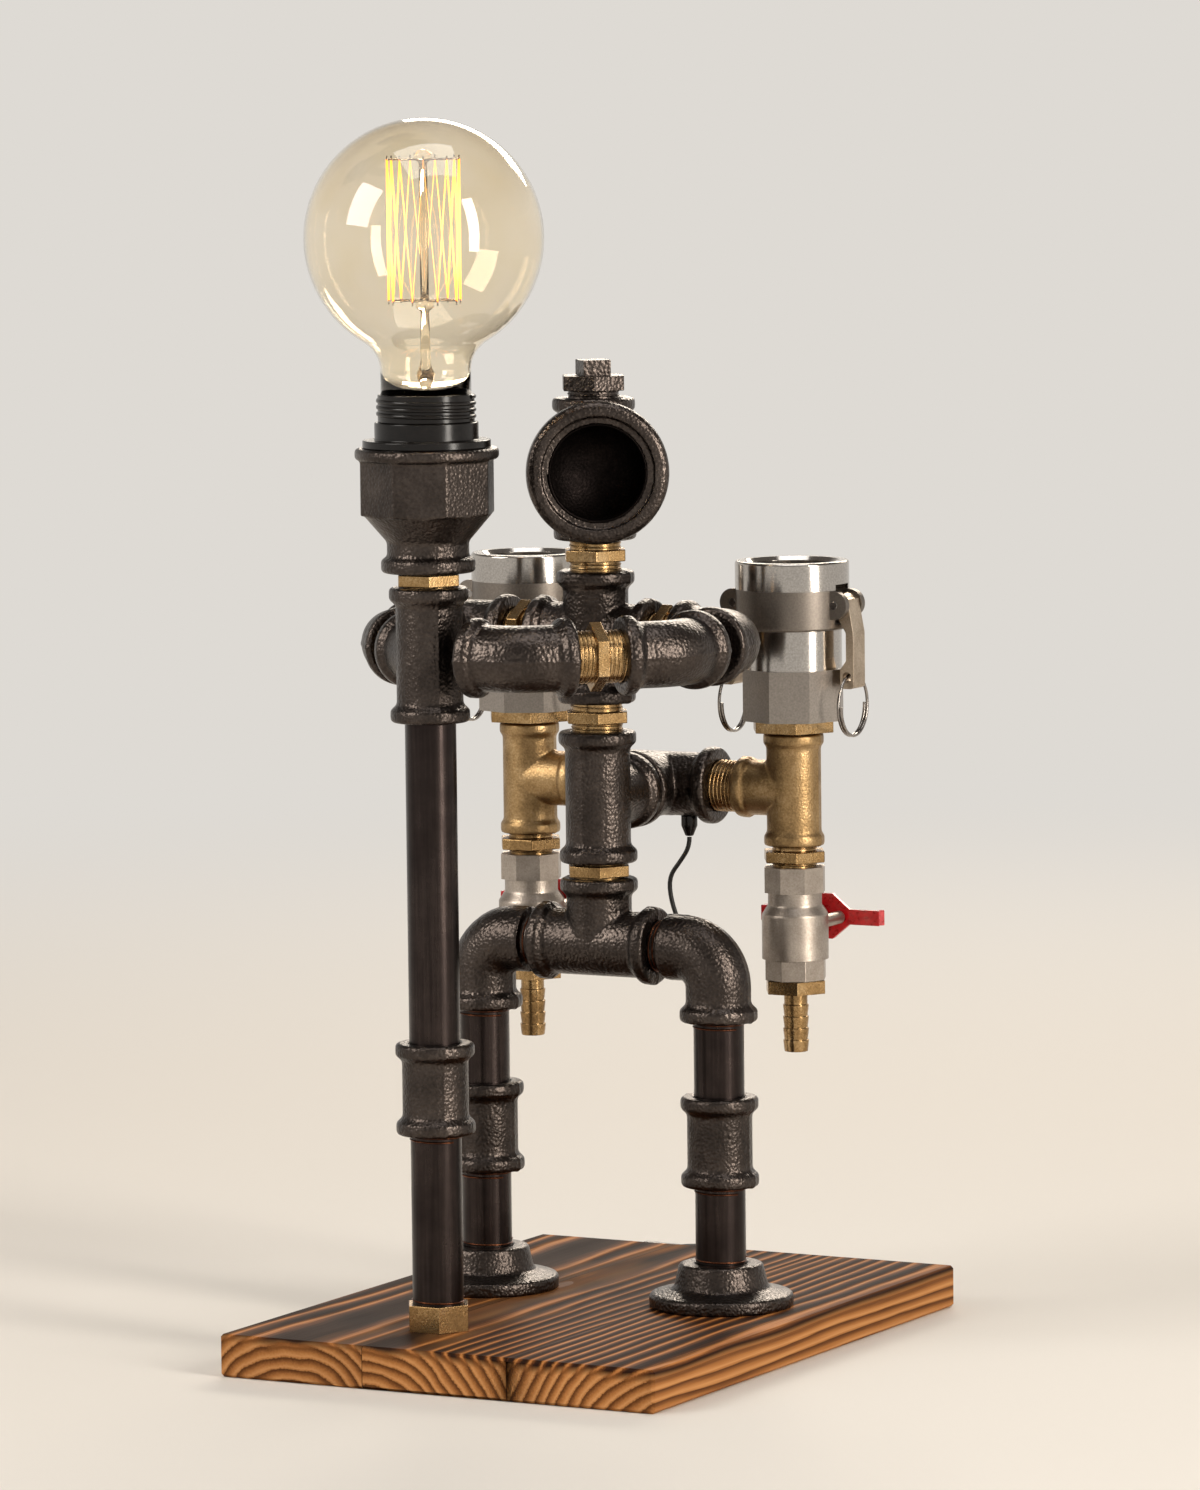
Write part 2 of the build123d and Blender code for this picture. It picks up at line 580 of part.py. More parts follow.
def make_bulb():
    """Globe bulb: glass, screw cap, glass stem with its buttons, and the cage of filament strands."""
    seat = Vector(POST.X, POST.Y, HOLDER_TOP)
    globe, neck = GLASS_DIAMETER / 2, GLASS_NECK / 2
    middle = GLASS_CENTRE_ABOVE_HOLDER

    def blown(thinner):
        """Globe with its neck, smaller all round by thinner."""
        inner = GLASS_FILLET + thinner
        meet = GLASS_FILLET / (globe + GLASS_FILLET)
        arc = Pos(0, 0, GLASS_NECK_TALL) * Torus(GLASS_BEND, inner)
        core = rod(Z * SEAT_GAP, Z, middle - SEAT_GAP, 2 * (GLASS_BEND - GLASS_BEND * meet))
        ball = Pos(0, 0, middle) * Sphere(globe - thinner)
        low = rod(Z * SEAT_GAP, Z, GLASS_NECK_TALL - SEAT_GAP, 2 * (neck - thinner))
        throat = rod(Z * GLASS_NECK_TALL, Z, GLASS_DROP * meet, 2 * GLASS_BEND) - arc
        return ball + (throat & core) + low

    glass = blown(0) - blown(GLASS_WALL)
    cap = rod(Z * -CAP_TALL, Z, CAP_TALL, CAP_DIAMETER)
    foot = Z * SEAT_GAP
    button = [Z * (middle - FILAMENT_LOW), Z * (middle + FILAMENT_HIGH)]
    reach = button[1].Z - SEAT_GAP
    foot_half, shaft = STEM_FOOT / 2, STEM_DIAMETER / 2
    stem = lathe([(0, 0), (foot_half, 0), (shaft, STEM_FOOT_TALL), (shaft, reach), (0, reach)], foot, Z,
                 {2: STEM_DIAMETER})
    for place in button:
        stem = stem + rod(place - Z * STEM_BUTTON_TALL / 2, Z, STEM_BUTTON_TALL, STEM_BUTTON)
    filament = spider(button[0].Z) + spider(button[1].Z)
    strand = FILAMENT_LOW + FILAMENT_HIGH - FILAMENT_WIRE
    for index in range(FILAMENT_COUNT):
        turn = (index + 0.5) * 2 * math.pi / FILAMENT_COUNT
        spot = Vector(math.cos(turn), math.sin(turn), 0) * FILAMENT_RING
        filament = filament + rod(button[0] + spot + Z * FILAMENT_WIRE, Z, strand, FILAMENT_WIRE)
    return [Pos(*seat) * piece for piece in (glass, cap, stem, filament)]


def make_coupler(side):
    """Cam coupler: eight-sided base, turned neck, belt with two pairs of ears, and rim."""
    axis = Vector(side * DISPENSER_X, REAR_Y, 0)
    ring = COUPLER_RING / 2
    belt = COUPLER_BELT / 2
    neck = COUPLER_NECK / 2
    steps = [COUPLER_NECK_LOW, COUPLER_BELT_LOW, COUPLER_RING_LOW, COUPLER_TOP]
    profile = [(0, steps[0]), (neck, steps[0]), (neck, steps[1]), (belt, steps[1]), (belt, steps[2]),
               (ring, steps[2]), (ring, steps[3]), (0, steps[3])]
    body = lathe(profile, axis, Z, {3: COUPLER_EASE, 6: COUPLER_EASE})
    body = body + bar(axis + Z * COUPLER_LOW, Z, COUPLER_BASE_TALL, COUPLER_FLATS, COUPLER_SIDES)
    slot = ARM_WIDTH + 2 * MOVING_GAP
    for out in (X, X * -1):
        pin = axis + out * CAM_PIN_OUT + Z * CAM_Z
        root = COUPLER_BORE / 2 + EAR_THICK
        ear = rod(pin - Y * (slot / 2 + EAR_THICK), Y, slot + 2 * EAR_THICK, 2 * EAR_RADIUS)
        block = Pos(*(axis + out * (root + CAM_PIN_OUT) / 2 + Z * CAM_Z)) * Box(
            CAM_PIN_OUT - root, slot + 2 * EAR_THICK, 2 * EAR_RADIUS)
        body = body + ear + block
        window_tall = WINDOW_UP + WINDOW_DOWN
        window = Pos(*(pin + Z * (WINDOW_UP - WINDOW_DOWN) / 2)) * Box(
            COUPLER_BORE, slot, window_tall)
        body = body - window
        body = body - rod(pin - Y * COUPLER_BORE / 2, Y, COUPLER_BORE, CAM_PIN + 2 * RUNNING_GAP)
    bore = COUPLER_BORE / 2
    recess, floor = GASKET_RECESS / 2, GASKET_LOW + GASKET_TALL
    hollow = [(0, GASKET_LOW), (recess, GASKET_LOW), (recess, floor), (bore, floor),
              (bore, COUPLER_TOP - COUPLER_LEAD),
              (bore + COUPLER_LEAD, COUPLER_TOP), (0, COUPLER_TOP)]
    body = body - lathe(hollow, axis, Z)
    body = body - rod(axis + Z * COUPLER_LOW, Z, BUSH_TOP_ENGAGED + THREAD_GAP,
                      BUSH_TOP_THREAD + 2 * THREAD_GAP)
    return body - rod(axis + Z * COUPLER_LOW, Z, GASKET_LOW - COUPLER_LOW, GASKET_HOLE)


def make_bush(side):
    """Reducing bush from the brass tee up into the coupler."""
    axis = Vector(side * DISPENSER_X, REAR_Y, 0)
    low = BUSH_LOW - BUSH_SHOWN - BRASS.engaged
    tall = BRASS.engaged + BUSH_SHOWN + BUSH_TALL + BUSH_TOP_ENGAGED
    bush = rod(axis + Z * low, Z, tall, BRASS.thread)
    bush = bush + bar(axis + Z * BUSH_LOW, Z, BUSH_TALL, BUSH_FLATS)
    bush = bush + rod(axis + Z * COUPLER_LOW, Z, BUSH_TOP_ENGAGED, BUSH_TOP_THREAD)
    return bush - rod(axis + Z * low, Z, tall, BRASS.bore)


def make_gasket(side):
    """Sealing ring on the floor of the coupler's cup."""
    place = Vector(side * DISPENSER_X, REAR_Y, GASKET_LOW)
    return tube(place, Z, GASKET_TALL - SEAT_GAP, GASKET_RECESS - 2 * SEAT_GAP, GASKET_HOLE)


def cam_place(side, out):
    """Pin centre of one cam arm, out being -1 or 1 along X."""
    return Vector(side * DISPENSER_X + out * CAM_PIN_OUT, REAR_Y, CAM_Z)


def make_cam_pin(side, out):
    """Pin across one pair of ears."""
    length = ARM_WIDTH + 2 * MOVING_GAP + 2 * EAR_THICK
    return rod(cam_place(side, out) - Y * length / 2, Y, length, CAM_PIN)


def make_cam_arm(side, out):
    """Cam arm hanging beside the coupler, with a hole for its pull ring."""
    pin = cam_place(side, out)
    half = ARM_WIDTH / 2
    outer, inner, end_inner = ARM_OUT, ARM_OUT - ARM_THICK, ARM_OUT - ARM_END_THICK
    knee = -ARM_LENGTH / 3
    corners = [(0, ARM_HEAD), (ARM_HEAD, ARM_HEAD / 2), (outer, knee), (outer, -ARM_LENGTH),
               (end_inner, -ARM_LENGTH), (end_inner, -ARM_HOLE_DOWN + ARM_END_THICK / 2),
               (inner, knee * 2), (inner, knee), (0, -ARM_HEAD)]
    face = make_face(Polyline(*[(out * x, z) for x, z in corners], close=True))
    for index in (2, 3, 4):
        x, z = corners[index]
        face = fillet(face.vertices().sort_by_distance((out * x, z, 0))[0], ARM_THICK / 2)
    blade = extrude(Plane(origin=pin + Y * half, x_dir=X, z_dir=Y * -1) * face, ARM_WIDTH)
    arm = blade + rod(pin - Y * half, Y, ARM_WIDTH, 2 * ARM_HEAD)
    arm = arm - rod(pin - Y * half, Y, ARM_WIDTH, CAM_PIN + 2 * RUNNING_GAP)
    hole = ring_place(side, out)
    return arm - rod(hole - Y * half, Y, ARM_WIDTH, RING_HOLE)


def ring_place(side, out):
    """Centre of the hole that holds one pull ring."""
    return cam_place(side, out) + X * out * (ARM_OUT - ARM_END_THICK / 2) - Z * ARM_HOLE_DOWN


def make_pull_ring(side, out):
    """Pull ring hanging through the arm's hole, in the plane across the arm."""
    centre = ring_place(side, out) - Z * (RING_MIDDLE - RING_SAG / 2)
    return Plane(origin=centre, z_dir=X) * Torus(RING_MIDDLE, RING_WIRE / 2)


def valve_axis(side):
    """Point on a dispenser's upright axis at floor level."""
    return Vector(side * DISPENSER_X, REAR_Y, 0)


def make_valve_body(side):
    """Ball valve body with its stem boss at the back and its screwed-in end missing."""
    axis = valve_axis(side)
    neck_low = VALVE_TOP - VALVE_TOP_TALL - VALVE_NECK_TALL
    body_top = neck_low - VALVE_SHOULDER_TALL
    body = lathe([(0, VALVE_LOW), (VALVE_BODY / 2, VALVE_LOW), (VALVE_BODY / 2, body_top),
                  (VALVE_NECK / 2, neck_low), (VALVE_NECK / 2, neck_low + VALVE_NECK_TALL),
                  (0, neck_low + VALVE_NECK_TALL)], axis, Z, {2: VALVE_SOFT, 3: VALVE_SOFT})
    body = body + bar(axis + Z * (VALVE_TOP - VALVE_TOP_TALL), Z, VALVE_TOP_TALL, VALVE_FLATS, VALVE_SIDES)
    centre = axis + Z * BALL_Z
    body = body + rod(centre, Y, BOSS_OUT, BOSS_DIAMETER)
    stop = centre + X * STOP_PIN_OFFSET
    body = body + rod(stop, Y, BOSS_OUT + GLAND_TALL - SEAT_GAP, STOP_PIN)
    seat_top = BALL_Z + VALVE_CAVITY / 2
    hollow = rod(axis + Z * VALVE_LOW, Z, seat_top - VALVE_LOW, VALVE_CAVITY)
    hollow = hollow + rod(axis + Z * seat_top, Z, VALVE_TOP - seat_top, VALVE_PORT)
    hollow = hollow + socket(axis + Z * VALVE_TOP, Z * -1, BRASS)
    hollow = hollow + rod(axis + Z * VALVE_LOW, Z, SEAT_LOW_TOP - VALVE_LOW,
                          VALVE_INSERT_THREAD + 2 * THREAD_GAP)
    hollow = hollow + rod(centre, Y, BOSS_OUT, STEM_SHAFT + 2 * RUNNING_GAP)
    return body - hollow


def make_valve_insert(side):
    """Screwed-in lower end of a valve."""
    axis = valve_axis(side)
    top = SEAT_LOW_TOP - SEAT_TALL - SEAT_GAP
    insert = bar(axis + Z * INSERT_LOW, Z, VALVE_INSERT_TALL - SEAT_GAP, VALVE_FLATS, VALVE_SIDES)
    insert = insert + rod(axis + Z * INSERT_LOW, Z, top - INSERT_LOW, VALVE_INSERT_THREAD)
    insert = insert - rod(axis + Z * INSERT_LOW, Z, top - INSERT_LOW, VALVE_PORT)
    return insert - socket(axis + Z * INSERT_LOW, Z, BRASS)


def make_valve_seats(side):
    """Two soft rings that the ball turns between."""
    axis = valve_axis(side)
    ball = Pos(*(axis + Z * BALL_Z)) * Sphere(VALVE_BALL / 2 + RUNNING_GAP)
    upper_top = BALL_Z + VALVE_CAVITY / 2 - SEAT_GAP
    upper_low = BALL_Z + SEAT_REACH - SEAT_TALL / 2
    lower_low = SEAT_LOW_TOP - SEAT_TALL
    upper = tube(axis + Z * upper_low, Z, upper_top - upper_low, SEAT_OUTER, VALVE_PORT) - ball
    lower = tube(axis + Z * lower_low, Z, SEAT_TALL + SEAT_TALL / 2, SEAT_OUTER, VALVE_PORT) - ball
    return [upper, lower]


def make_valve_ball(side):
    """Bored ball, shown closed, with a slot for the stem's tang."""
    centre = valve_axis(side) + Z * BALL_Z
    ball = Pos(*centre) * Sphere(VALVE_BALL / 2)
    ball = ball - rod(centre - X * VALVE_BALL, X, 2 * VALVE_BALL, VALVE_PORT)
    slot = Pos(*(centre + Y * VALVE_BALL / 2)) * Box(VALVE_BALL, STEM_TANG * 2, STEM_TANG_WIDE)
    return ball - slot


def make_valve_stem(side):
    """Stem from the ball's slot out through the boss, with a stud for the lever."""
    centre = valve_axis(side) + Z * BALL_Z
    start = VALVE_BALL / 2 - STEM_TANG + SEAT_GAP
    shoulder = LEVER_OUT - SEAT_GAP
    seat = VALVE_BALL / 2 + SEAT_GAP
    stem = rod(centre + Y * seat, Y, shoulder - seat, STEM_SHAFT)
    tang = Pos(*(centre + Y * (start + seat) / 2)) * Box(
        STEM_TANG_WIDE - 2 * SEAT_GAP, seat - start, STEM_TANG_WIDE - 2 * SEAT_GAP)
    stud = LEVER_THICK + LEVER_NUT_TALL + 2 * SEAT_GAP
    return stem + tang + rod(centre + Y * shoulder, Y, stud, LEVER_STUD)


def make_gland_nut(side):
    """Packing nut on the valve's boss."""
    centre = valve_axis(side) + Z * BALL_Z
    nut = bar(centre + Y * (BOSS_OUT + SEAT_GAP), Y, GLAND_TALL, GLAND_FLATS, x_dir=X)
    return nut - rod(centre, Y, LEVER_OUT, STEM_SHAFT + 2 * RUNNING_GAP)


def make_lever(side):
    """Butterfly lever across the valve, its tips bent away from the body."""
    centre = valve_axis(side) + Z * BALL_Z + Y * LEVER_OUT
    wing, tall, near = LEVER_WING / 2, LEVER_TALL / 2, LEVER_WING_FROM
    tip_from = LEVER_SPAN - LEVER_TIP * math.cos(math.radians(LEVER_TIP_TURN))
    right = [(STEM_SHAFT, tall), (near, wing), (tip_from, wing)]
    outline = right + [(x, -z) for x, z in reversed(right)]
    outline = outline + [(-x, -z) for x, z in right] + [(-x, z) for x, z in reversed(right)]
    plate_plane = Plane(origin=centre, x_dir=X, z_dir=Y)
    lever = extrude(plate_plane * make_face(Polyline(*outline, close=True)), LEVER_THICK)
    for way in (1, -1):
        turn = math.radians(LEVER_TIP_TURN)
        along = Vector(way * math.cos(turn), math.sin(turn), 0)
        square = Vector(-way * math.sin(turn), math.cos(turn), 0)
        root = centre + X * way * tip_from
        middle = root + along * LEVER_TIP / 2 + square * LEVER_THICK / 2
        tip = Plane(origin=middle, x_dir=along, z_dir=Z) * Box(LEVER_TIP, LEVER_THICK, LEVER_WING)
        knuckle = rod(root - Z * wing, Z, LEVER_WING, 2 * LEVER_THICK)
        keep = Pos(*(root + Y * LEVER_THICK)) * Box(4 * LEVER_THICK, 2 * LEVER_THICK, LEVER_TALL)
        lever = lever + tip + (knuckle & keep)
    return lever - rod(centre, Y, LEVER_THICK, LEVER_STUD + 2 * SEAT_GAP)


def make_lever_nut(side):
    """Nut that holds the lever on the stem's stud."""
    start = valve_axis(side) + Z * BALL_Z + Y * (LEVER_OUT + LEVER_THICK + SEAT_GAP)
    nut = bar(start, Y, LEVER_NUT_TALL, LEVER_NUT_FLATS, x_dir=X)
    return nut - rod(start, Y, LEVER_NUT_TALL, LEVER_STUD + 2 * THREAD_GAP)


def make_barb(side):
    """Hose barb spout under the valve."""
    axis = valve_axis(side)
    hex_low = INSERT_LOW - SEAT_GAP - BARB_HEX_TALL
    low = hex_low - BARB_LENGTH
    step = BARB_LENGTH / (BARB_RIDGES + 1)
    slim, wide = BARB_DIAMETER / 2, BARB_RIDGE / 2
    profile = [(0, low), (slim, low)]
    for index in range(BARB_RIDGES):
        ridge = low + (index + 1) * step
        profile += [(wide, ridge - BARB_EDGE), (wide, ridge), (slim, ridge)]
    profile += [(slim, hex_low), (0, hex_low)]
    barb = lathe(profile, axis, Z) + bar(axis + Z * hex_low, Z, BARB_HEX_TALL, BARB_FLATS)
    tall = BARB_HEX_TALL + SEAT_GAP + BRASS.engaged
    barb = barb + rod(axis + Z * hex_low, Z, tall, BRASS.thread)
    return barb - rod(axis + Z * low, Z, BARB_LENGTH + tall, BARB_BORE)


def biarc(start, start_way, end, end_way):
    """Two arcs that leave start and reach end along the given directions."""
    span = end - start
    ways = start_way + end_way
    turn = 2 * (1 - start_way.dot(end_way))
    along = span.dot(ways)
    reach = (-along + math.sqrt(along ** 2 + turn * span.dot(span))) / turn
    middle = (start + end + (start_way - end_way) * reach) * 0.5
    middle_way = (end - end_way * reach - start - start_way * reach).normalized()
    return [TangentArc(start, middle, tangent=start_way),
            TangentArc(middle, end, tangent=middle_way)]


def ramp(value, low, high):
    """Share of the way from low to high, held at both ends."""
    return min(max((value - low) / (high - low), 0), 1)


def coil_point(quarter):
    """Centre of the cord after some quarter turns: layers from the top down, in and out again."""
    wound = 0.0
    dropped = 0.0
    for layer in range(COIL_LAYERS):
        low = layer * COIL_LAYER_QUARTERS + 1
        high = low + COIL_LAYER_QUARTERS - COIL_CLIMB
        way = 1 if layer % 2 == 0 else -1
        wound += way * ramp(quarter, low, high) * (high - low)
        if layer:
            dropped += ramp(quarter, low - COIL_CLIMB, low) * COIL_PITCH
    radius = COIL_OUTER - wound * COIL_PITCH / 4
    radius += TAIL_OUT * ramp(quarter, COIL_END - COIL_TAIL_QUARTERS, COIL_END - 1)
    height = COIL_TOP - dropped
    height += (PLUG_AXIS - COIL_LOW - CORD_DIAMETER / 2) * ramp(quarter, COIL_END - 2, COIL_END)
    turn = (quarter - 1) * math.pi / 2
    return Vector(COIL_X + radius * math.cos(turn), COIL_Y + radius * math.sin(turn), height)


def coil_path():
    """Arcs along the coil, with a short straight run at both ends."""
    step = COIL_SLOPE_STEP
    quarters = range(1, COIL_END + 1)
    points = [coil_point(quarter) for quarter in quarters]
    ways = [(coil_point(quarter + step) - coil_point(quarter - step)).normalized() for quarter in quarters]
    edges = [Line(points[0] - ways[0] * CORD_DIAMETER, points[0])]
    for index in range(len(points) - 1):
        edges += biarc(points[index], ways[index], points[index + 1], ways[index + 1])
    edges.append(Line(points[-1], points[-1] + ways[-1] * CORD_DIAMETER))
    return edges


def self_gap():
    """Least clear distance between turns of the coil, measured on points."""
    fine = COIL_SAMPLES
    points = [coil_point(1 + index / fine) for index in range((COIL_END - 1) * fine + 1)]
    apart = min((points[j] - points[i]).length
                for i in range(0, len(points), 2) for j in range(i + 2 * fine, len(points), 2))
    return apart - CORD_DIAMETER


def cord_radii(points):
    """Largest radius that each corner of the route has room for."""
    radii = []
    for before, here, after in zip(points, points[1:], points[2:]):
        turn = math.radians((here - before).get_angle(after - here))
        shorter = min((here - before).length, (after - here).length)
        radii.append(CORD_BEND_SHARE * shorter / math.tan(turn / 2))
    return radii


def make_cord():
    """Cord from the gland, down behind the right leg, across the board and over its back edge."""
    first_run = coil_path()[0]
    coil_start = first_run @ 0
    points = [Vector(*spot) for spot in CORD_ROUTE]
    points += [coil_start - (first_run % 0) * CORD_LEAD_IN, coil_start]
    radii = cord_radii(points)
    print("cord radii", [round(radius, 1) for radius in radii])
    path = FilletPolyline(*points, radius=radii)
    section = Plane(origin=path @ 0, z_dir=path % 0) * Circle(CORD_DIAMETER / 2)
    cord = sweep(section, path)
    print("cord length", round(path.length, 1), "volume over section times length",
          round(cord.volume / (path.length * math.pi * CORD_DIAMETER ** 2 / 4), 4))
    return cord


def make_gland():
    """Small strain relief screwed into the underside of the rear tee."""
    place = Vector(GLAND_X, REAR_Y, GLAND_LOW)
    body, tip, stub = GLAND_BODY / 2, GLAND_TIP / 2, GLAND_STUB / 2
    seat = GLAND_LENGTH - SEAT_GAP
    shoulder = seat / 2
    top = GLAND_LENGTH + (IRON.body - IRON.bore) / 2 - GLAND_SEAT_DEPTH
    gland = lathe([(0, 0), (tip, 0), (body, shoulder), (body, seat), (stub, seat), (stub, top), (0, top)],
                  place, Z)
    return gland


def make_tie():
    """Strap round one side of the coil."""
    inner = COIL_OUTER - COIL_PITCH * (COIL_LAYER_QUARTERS - COIL_CLIMB) / 4 - CORD_DIAMETER / 2 - TIE_GAP
    outer = COIL_OUTER + CORD_DIAMETER / 2 + TIE_GAP
    wide = outer - inner
    tall = CORD_DIAMETER + (COIL_LAYERS - 1) * COIL_PITCH + 2 * TIE_GAP
    middle = Vector(COIL_X - inner - wide / 2, COIL_Y, TIE_THICK + tall / 2)
    strap = Pos(*middle) * Box(wide + 2 * TIE_THICK, TIE_WIDTH, tall + 2 * TIE_THICK)
    return strap - Pos(*middle) * Box(wide, TIE_WIDTH, tall)


def make_plug(start, way):
    """Round low-voltage plug lying beside the coil."""
    body, slim = PLUG_BODY / 2, CORD_DIAMETER / 2 + SEAT_GAP
    shoulder = PLUG_RELIEF_LONG
    long = shoulder + PLUG_BODY_LONG
    plug = lathe([(0, 0), (slim, 0), (body, shoulder), (body, long), (0, long)], start, way,
                 {2: PLUG_EASE, 3: PLUG_EASE})
    return plug + rod(start + way * long, way, PLUG_TIP_LONG, PLUG_TIP_DIAMETER)


def make_lead():
    """Lamp lead inside the pipes, from the gland's tee to the lampholder."""
    start = Vector(GLAND_X, REAR_Y, CHEST)
    arm = Vector(-ARM_X, HIP_Y, SHOULDER)
    holder = Vector(POST.X, POST.Y, HOLDER_TOP - CAP_TALL - CONTACT_TALL - 2 * SEAT_GAP)
    points = [start, Vector(0, REAR_Y, CHEST), Vector(0, HIP_Y, CHEST), Vector(0, HIP_Y, SHOULDER), arm,
              LEFT_FOREARM, Vector(POST.X, POST.Y, SHOULDER), holder]
    path = FilletPolyline(*points, radius=LEAD_BEND)
    return sweep(Plane(origin=path @ 0, z_dir=path % 0) * Circle(LEAD_DIAMETER / 2), path)


def build_parts():
    """Every node's solids by name."""
    both = list(SIDES.values())
    parts = {}
    post_foot = Vector(POST.X, POST.Y, 0)
    pipe_hole = IRON.thread + 2 * THREAD_GAP
    holes = rod(post_foot, Z, TOP, pipe_hole) + rod(post_foot, Z, LOCKNUT_DEPTH, LOCKNUT_WELL)
    for side in both:
        for spot in screw_spots(side * LEG_X):
            holes = holes + rod(spot, Z, TOP, FLANGE_SCREW + 2 * SEAT_GAP)
            holes = holes + rod(spot, Z, FLANGE_SCREW_HEAD_TALL, FLANGE_SCREW_HEAD + 2 * SEAT_GAP)
    parts["base_board"] = make_board(holes)

    build_legs(parts, both)
    build_spine(parts)
    build_arms(parts, both)
    build_post(parts, post_foot)
    build_back(parts, both)
    build_dispensers(parts, both)
    build_wiring(parts)
    return parts


def build_legs(parts, both):
    """Flanges, leg pipes, couplings and hip elbows; the lamp post's foot shares their groups."""
    parts["floor_flanges"] = [make_flange(side * LEG_X) for side in both]
    screws = [make_screw(spot) for side in both for spot in screw_spots(side * LEG_X)]
    parts["board_fasteners"] = screws + [make_locknut()]
    lower_low = TOP + FLANGE_HEIGHT
    coupling_low = lower_low + LEG_LOWER_SHOWN
    upper_low = coupling_low + COUPLING_LENGTH
    feet = [Vector(side * LEG_X, HIP_Y, 0) for side in both]
    parts["leg_pipes"] = [pipe_between(foot, low, shown) for foot in feet
                          for low, shown in ((lower_low, LEG_LOWER_SHOWN), (upper_low, LEG_UPPER_SHOWN))]
    post_coupling = coupling(Vector(POST.X, POST.Y, 0), POST_COUPLING_LOW)
    parts["pipe_couplings"] = [coupling(foot, coupling_low) for foot in feet] + [post_coupling]
    parts["hip_elbows"] = [make_street_elbow(side) for side in both]


def build_spine(parts):
    """Tees, cross and head above the hips, joined by hexagon nipples."""
    spine = Vector(0, HIP_Y, 0)
    parts["hip_tee"] = cast_fitting(spine + Z * HIP, ACROSS + [(Z, TEE_REACH)], IRON)
    parts["chest_tee"] = cast_fitting(spine + Z * CHEST, UPRIGHT + [(Y, TEE_REACH)], IRON)
    parts["shoulder_cross"] = cast_fitting(spine + Z * SHOULDER, UPRIGHT + ACROSS, IRON)
    parts["head_tee"] = make_head()
    parts["head_bush"], parts["head_plug"] = make_head_top()
    gaps = [(HIP, CHEST_GAP), (CHEST, SHOULDER_GAP), (SHOULDER, NECK_GAP)]
    post = Vector(POST.X, POST.Y, SHOULDER + TEE_REACH)
    nipples = [nipple(spine + Z * (level + TEE_REACH), Z, gap, IRON, x_dir=X) for level, gap in gaps]
    parts["upright_nipples"] = nipples + [nipple(post, Z, LAMP_GAP, IRON, x_dir=X)]


def build_arms(parts, both):
    """Both arms: the left one carries the lamp post, the right one ends in an open hand."""
    shoulder = Vector(0, HIP_Y, SHOULDER)
    nipples = [nipple(shoulder + X * side * TEE_REACH, X * side, ARM_GAP, IRON) for side in both]
    nipples += [nipple(LEFT_FOREARM + LEFT_SLANT * SLANT_REACH, LEFT_SLANT, LEFT_SLANT_GAP, IRON),
                nipple(RIGHT_FOREARM + RIGHT_SLANT * SLANT_REACH, RIGHT_SLANT, RIGHT_SLANT_GAP, IRON)]
    parts["arm_nipples"] = nipples
    parts["shoulder_elbows"] = [
        bent_fitting(shoulder + X * side * ARM_X, X * -side, Y * -1, ELBOW_REACH, ELBOW_BEND, IRON)
        for side in both]
    outlet = shoulder - Y * ELBOW_REACH
    parts["close_nipples"] = [
        nipple(outlet - X * ARM_X, Y * -1, LEFT_CLOSE_GAP, IRON, hexagon=False),
        nipple(outlet + X * ARM_X, Y * -1, RIGHT_CLOSE_GAP, IRON, hexagon=False),
        nipple(Vector(0, HIP_Y + TEE_REACH, CHEST), Y, REAR_GAP, IRON, hexagon=False)]
    parts["forearm_elbows"] = [
        bent_fitting(LEFT_FOREARM, Y, LEFT_SLANT, SLANT_REACH, SLANT_BEND, IRON),
        bent_fitting(RIGHT_FOREARM, Y, RIGHT_SLANT, SLANT_REACH, SLANT_BEND, IRON),
        bent_fitting(HAND, RIGHT_SLANT * -1, X * -1, SLANT_REACH, SLANT_BEND, IRON)]


def pipe_between(foot, low, shown):
    """Upright pipe whose ends are screwed into the fittings below and above."""
    return tube(foot + Z * (low - IRON.engaged), Z, shown + 2 * IRON.engaged, IRON.thread, IRON.bore)


def coupling(foot, low):
    """Straight coupling standing on the pipe below it."""
    half = COUPLING_LENGTH / 2
    return cast_fitting(foot + Z * (low + half), [(Z, half), (Z * -1, half)], IRON)


def build_post(parts, foot):
    """Lamp post from the locknut under the board to the bulb."""
    parts["post_base_nut"] = bar(foot + Z * TOP, Z, POST_NUT_TALL, POST_NUT_FLATS) - rod(
        foot + Z * TOP, Z, POST_NUT_TALL, IRON.thread + 2 * THREAD_GAP)
    upper_low = POST_COUPLING_LOW + COUPLING_LENGTH
    parts["post_pipes"] = [
        tube(foot + Z * LOCKNUT_LOW, Z, POST_COUPLING_LOW + IRON.engaged - LOCKNUT_LOW, IRON.thread,
             IRON.bore),
        pipe_between(foot, upper_low, POST_TEE_LOW - upper_low)]
    parts["post_tee"] = cast_fitting(foot + Z * SHOULDER, UPRIGHT + [(LEFT_SLANT * -1, TEE_REACH)], IRON)
    parts["lamp_reducer"] = make_reducer()
    body, ring, contact = make_lampholder()
    parts["lampholder_body"] = [body, contact]
    parts["lampholder_ring"] = ring
    glass, cap, stem, filament = make_bulb()
    parts["bulb_glass"], parts["bulb_cap"] = glass, cap
    parts["bulb_stem"], parts["bulb_filament"] = stem, filament


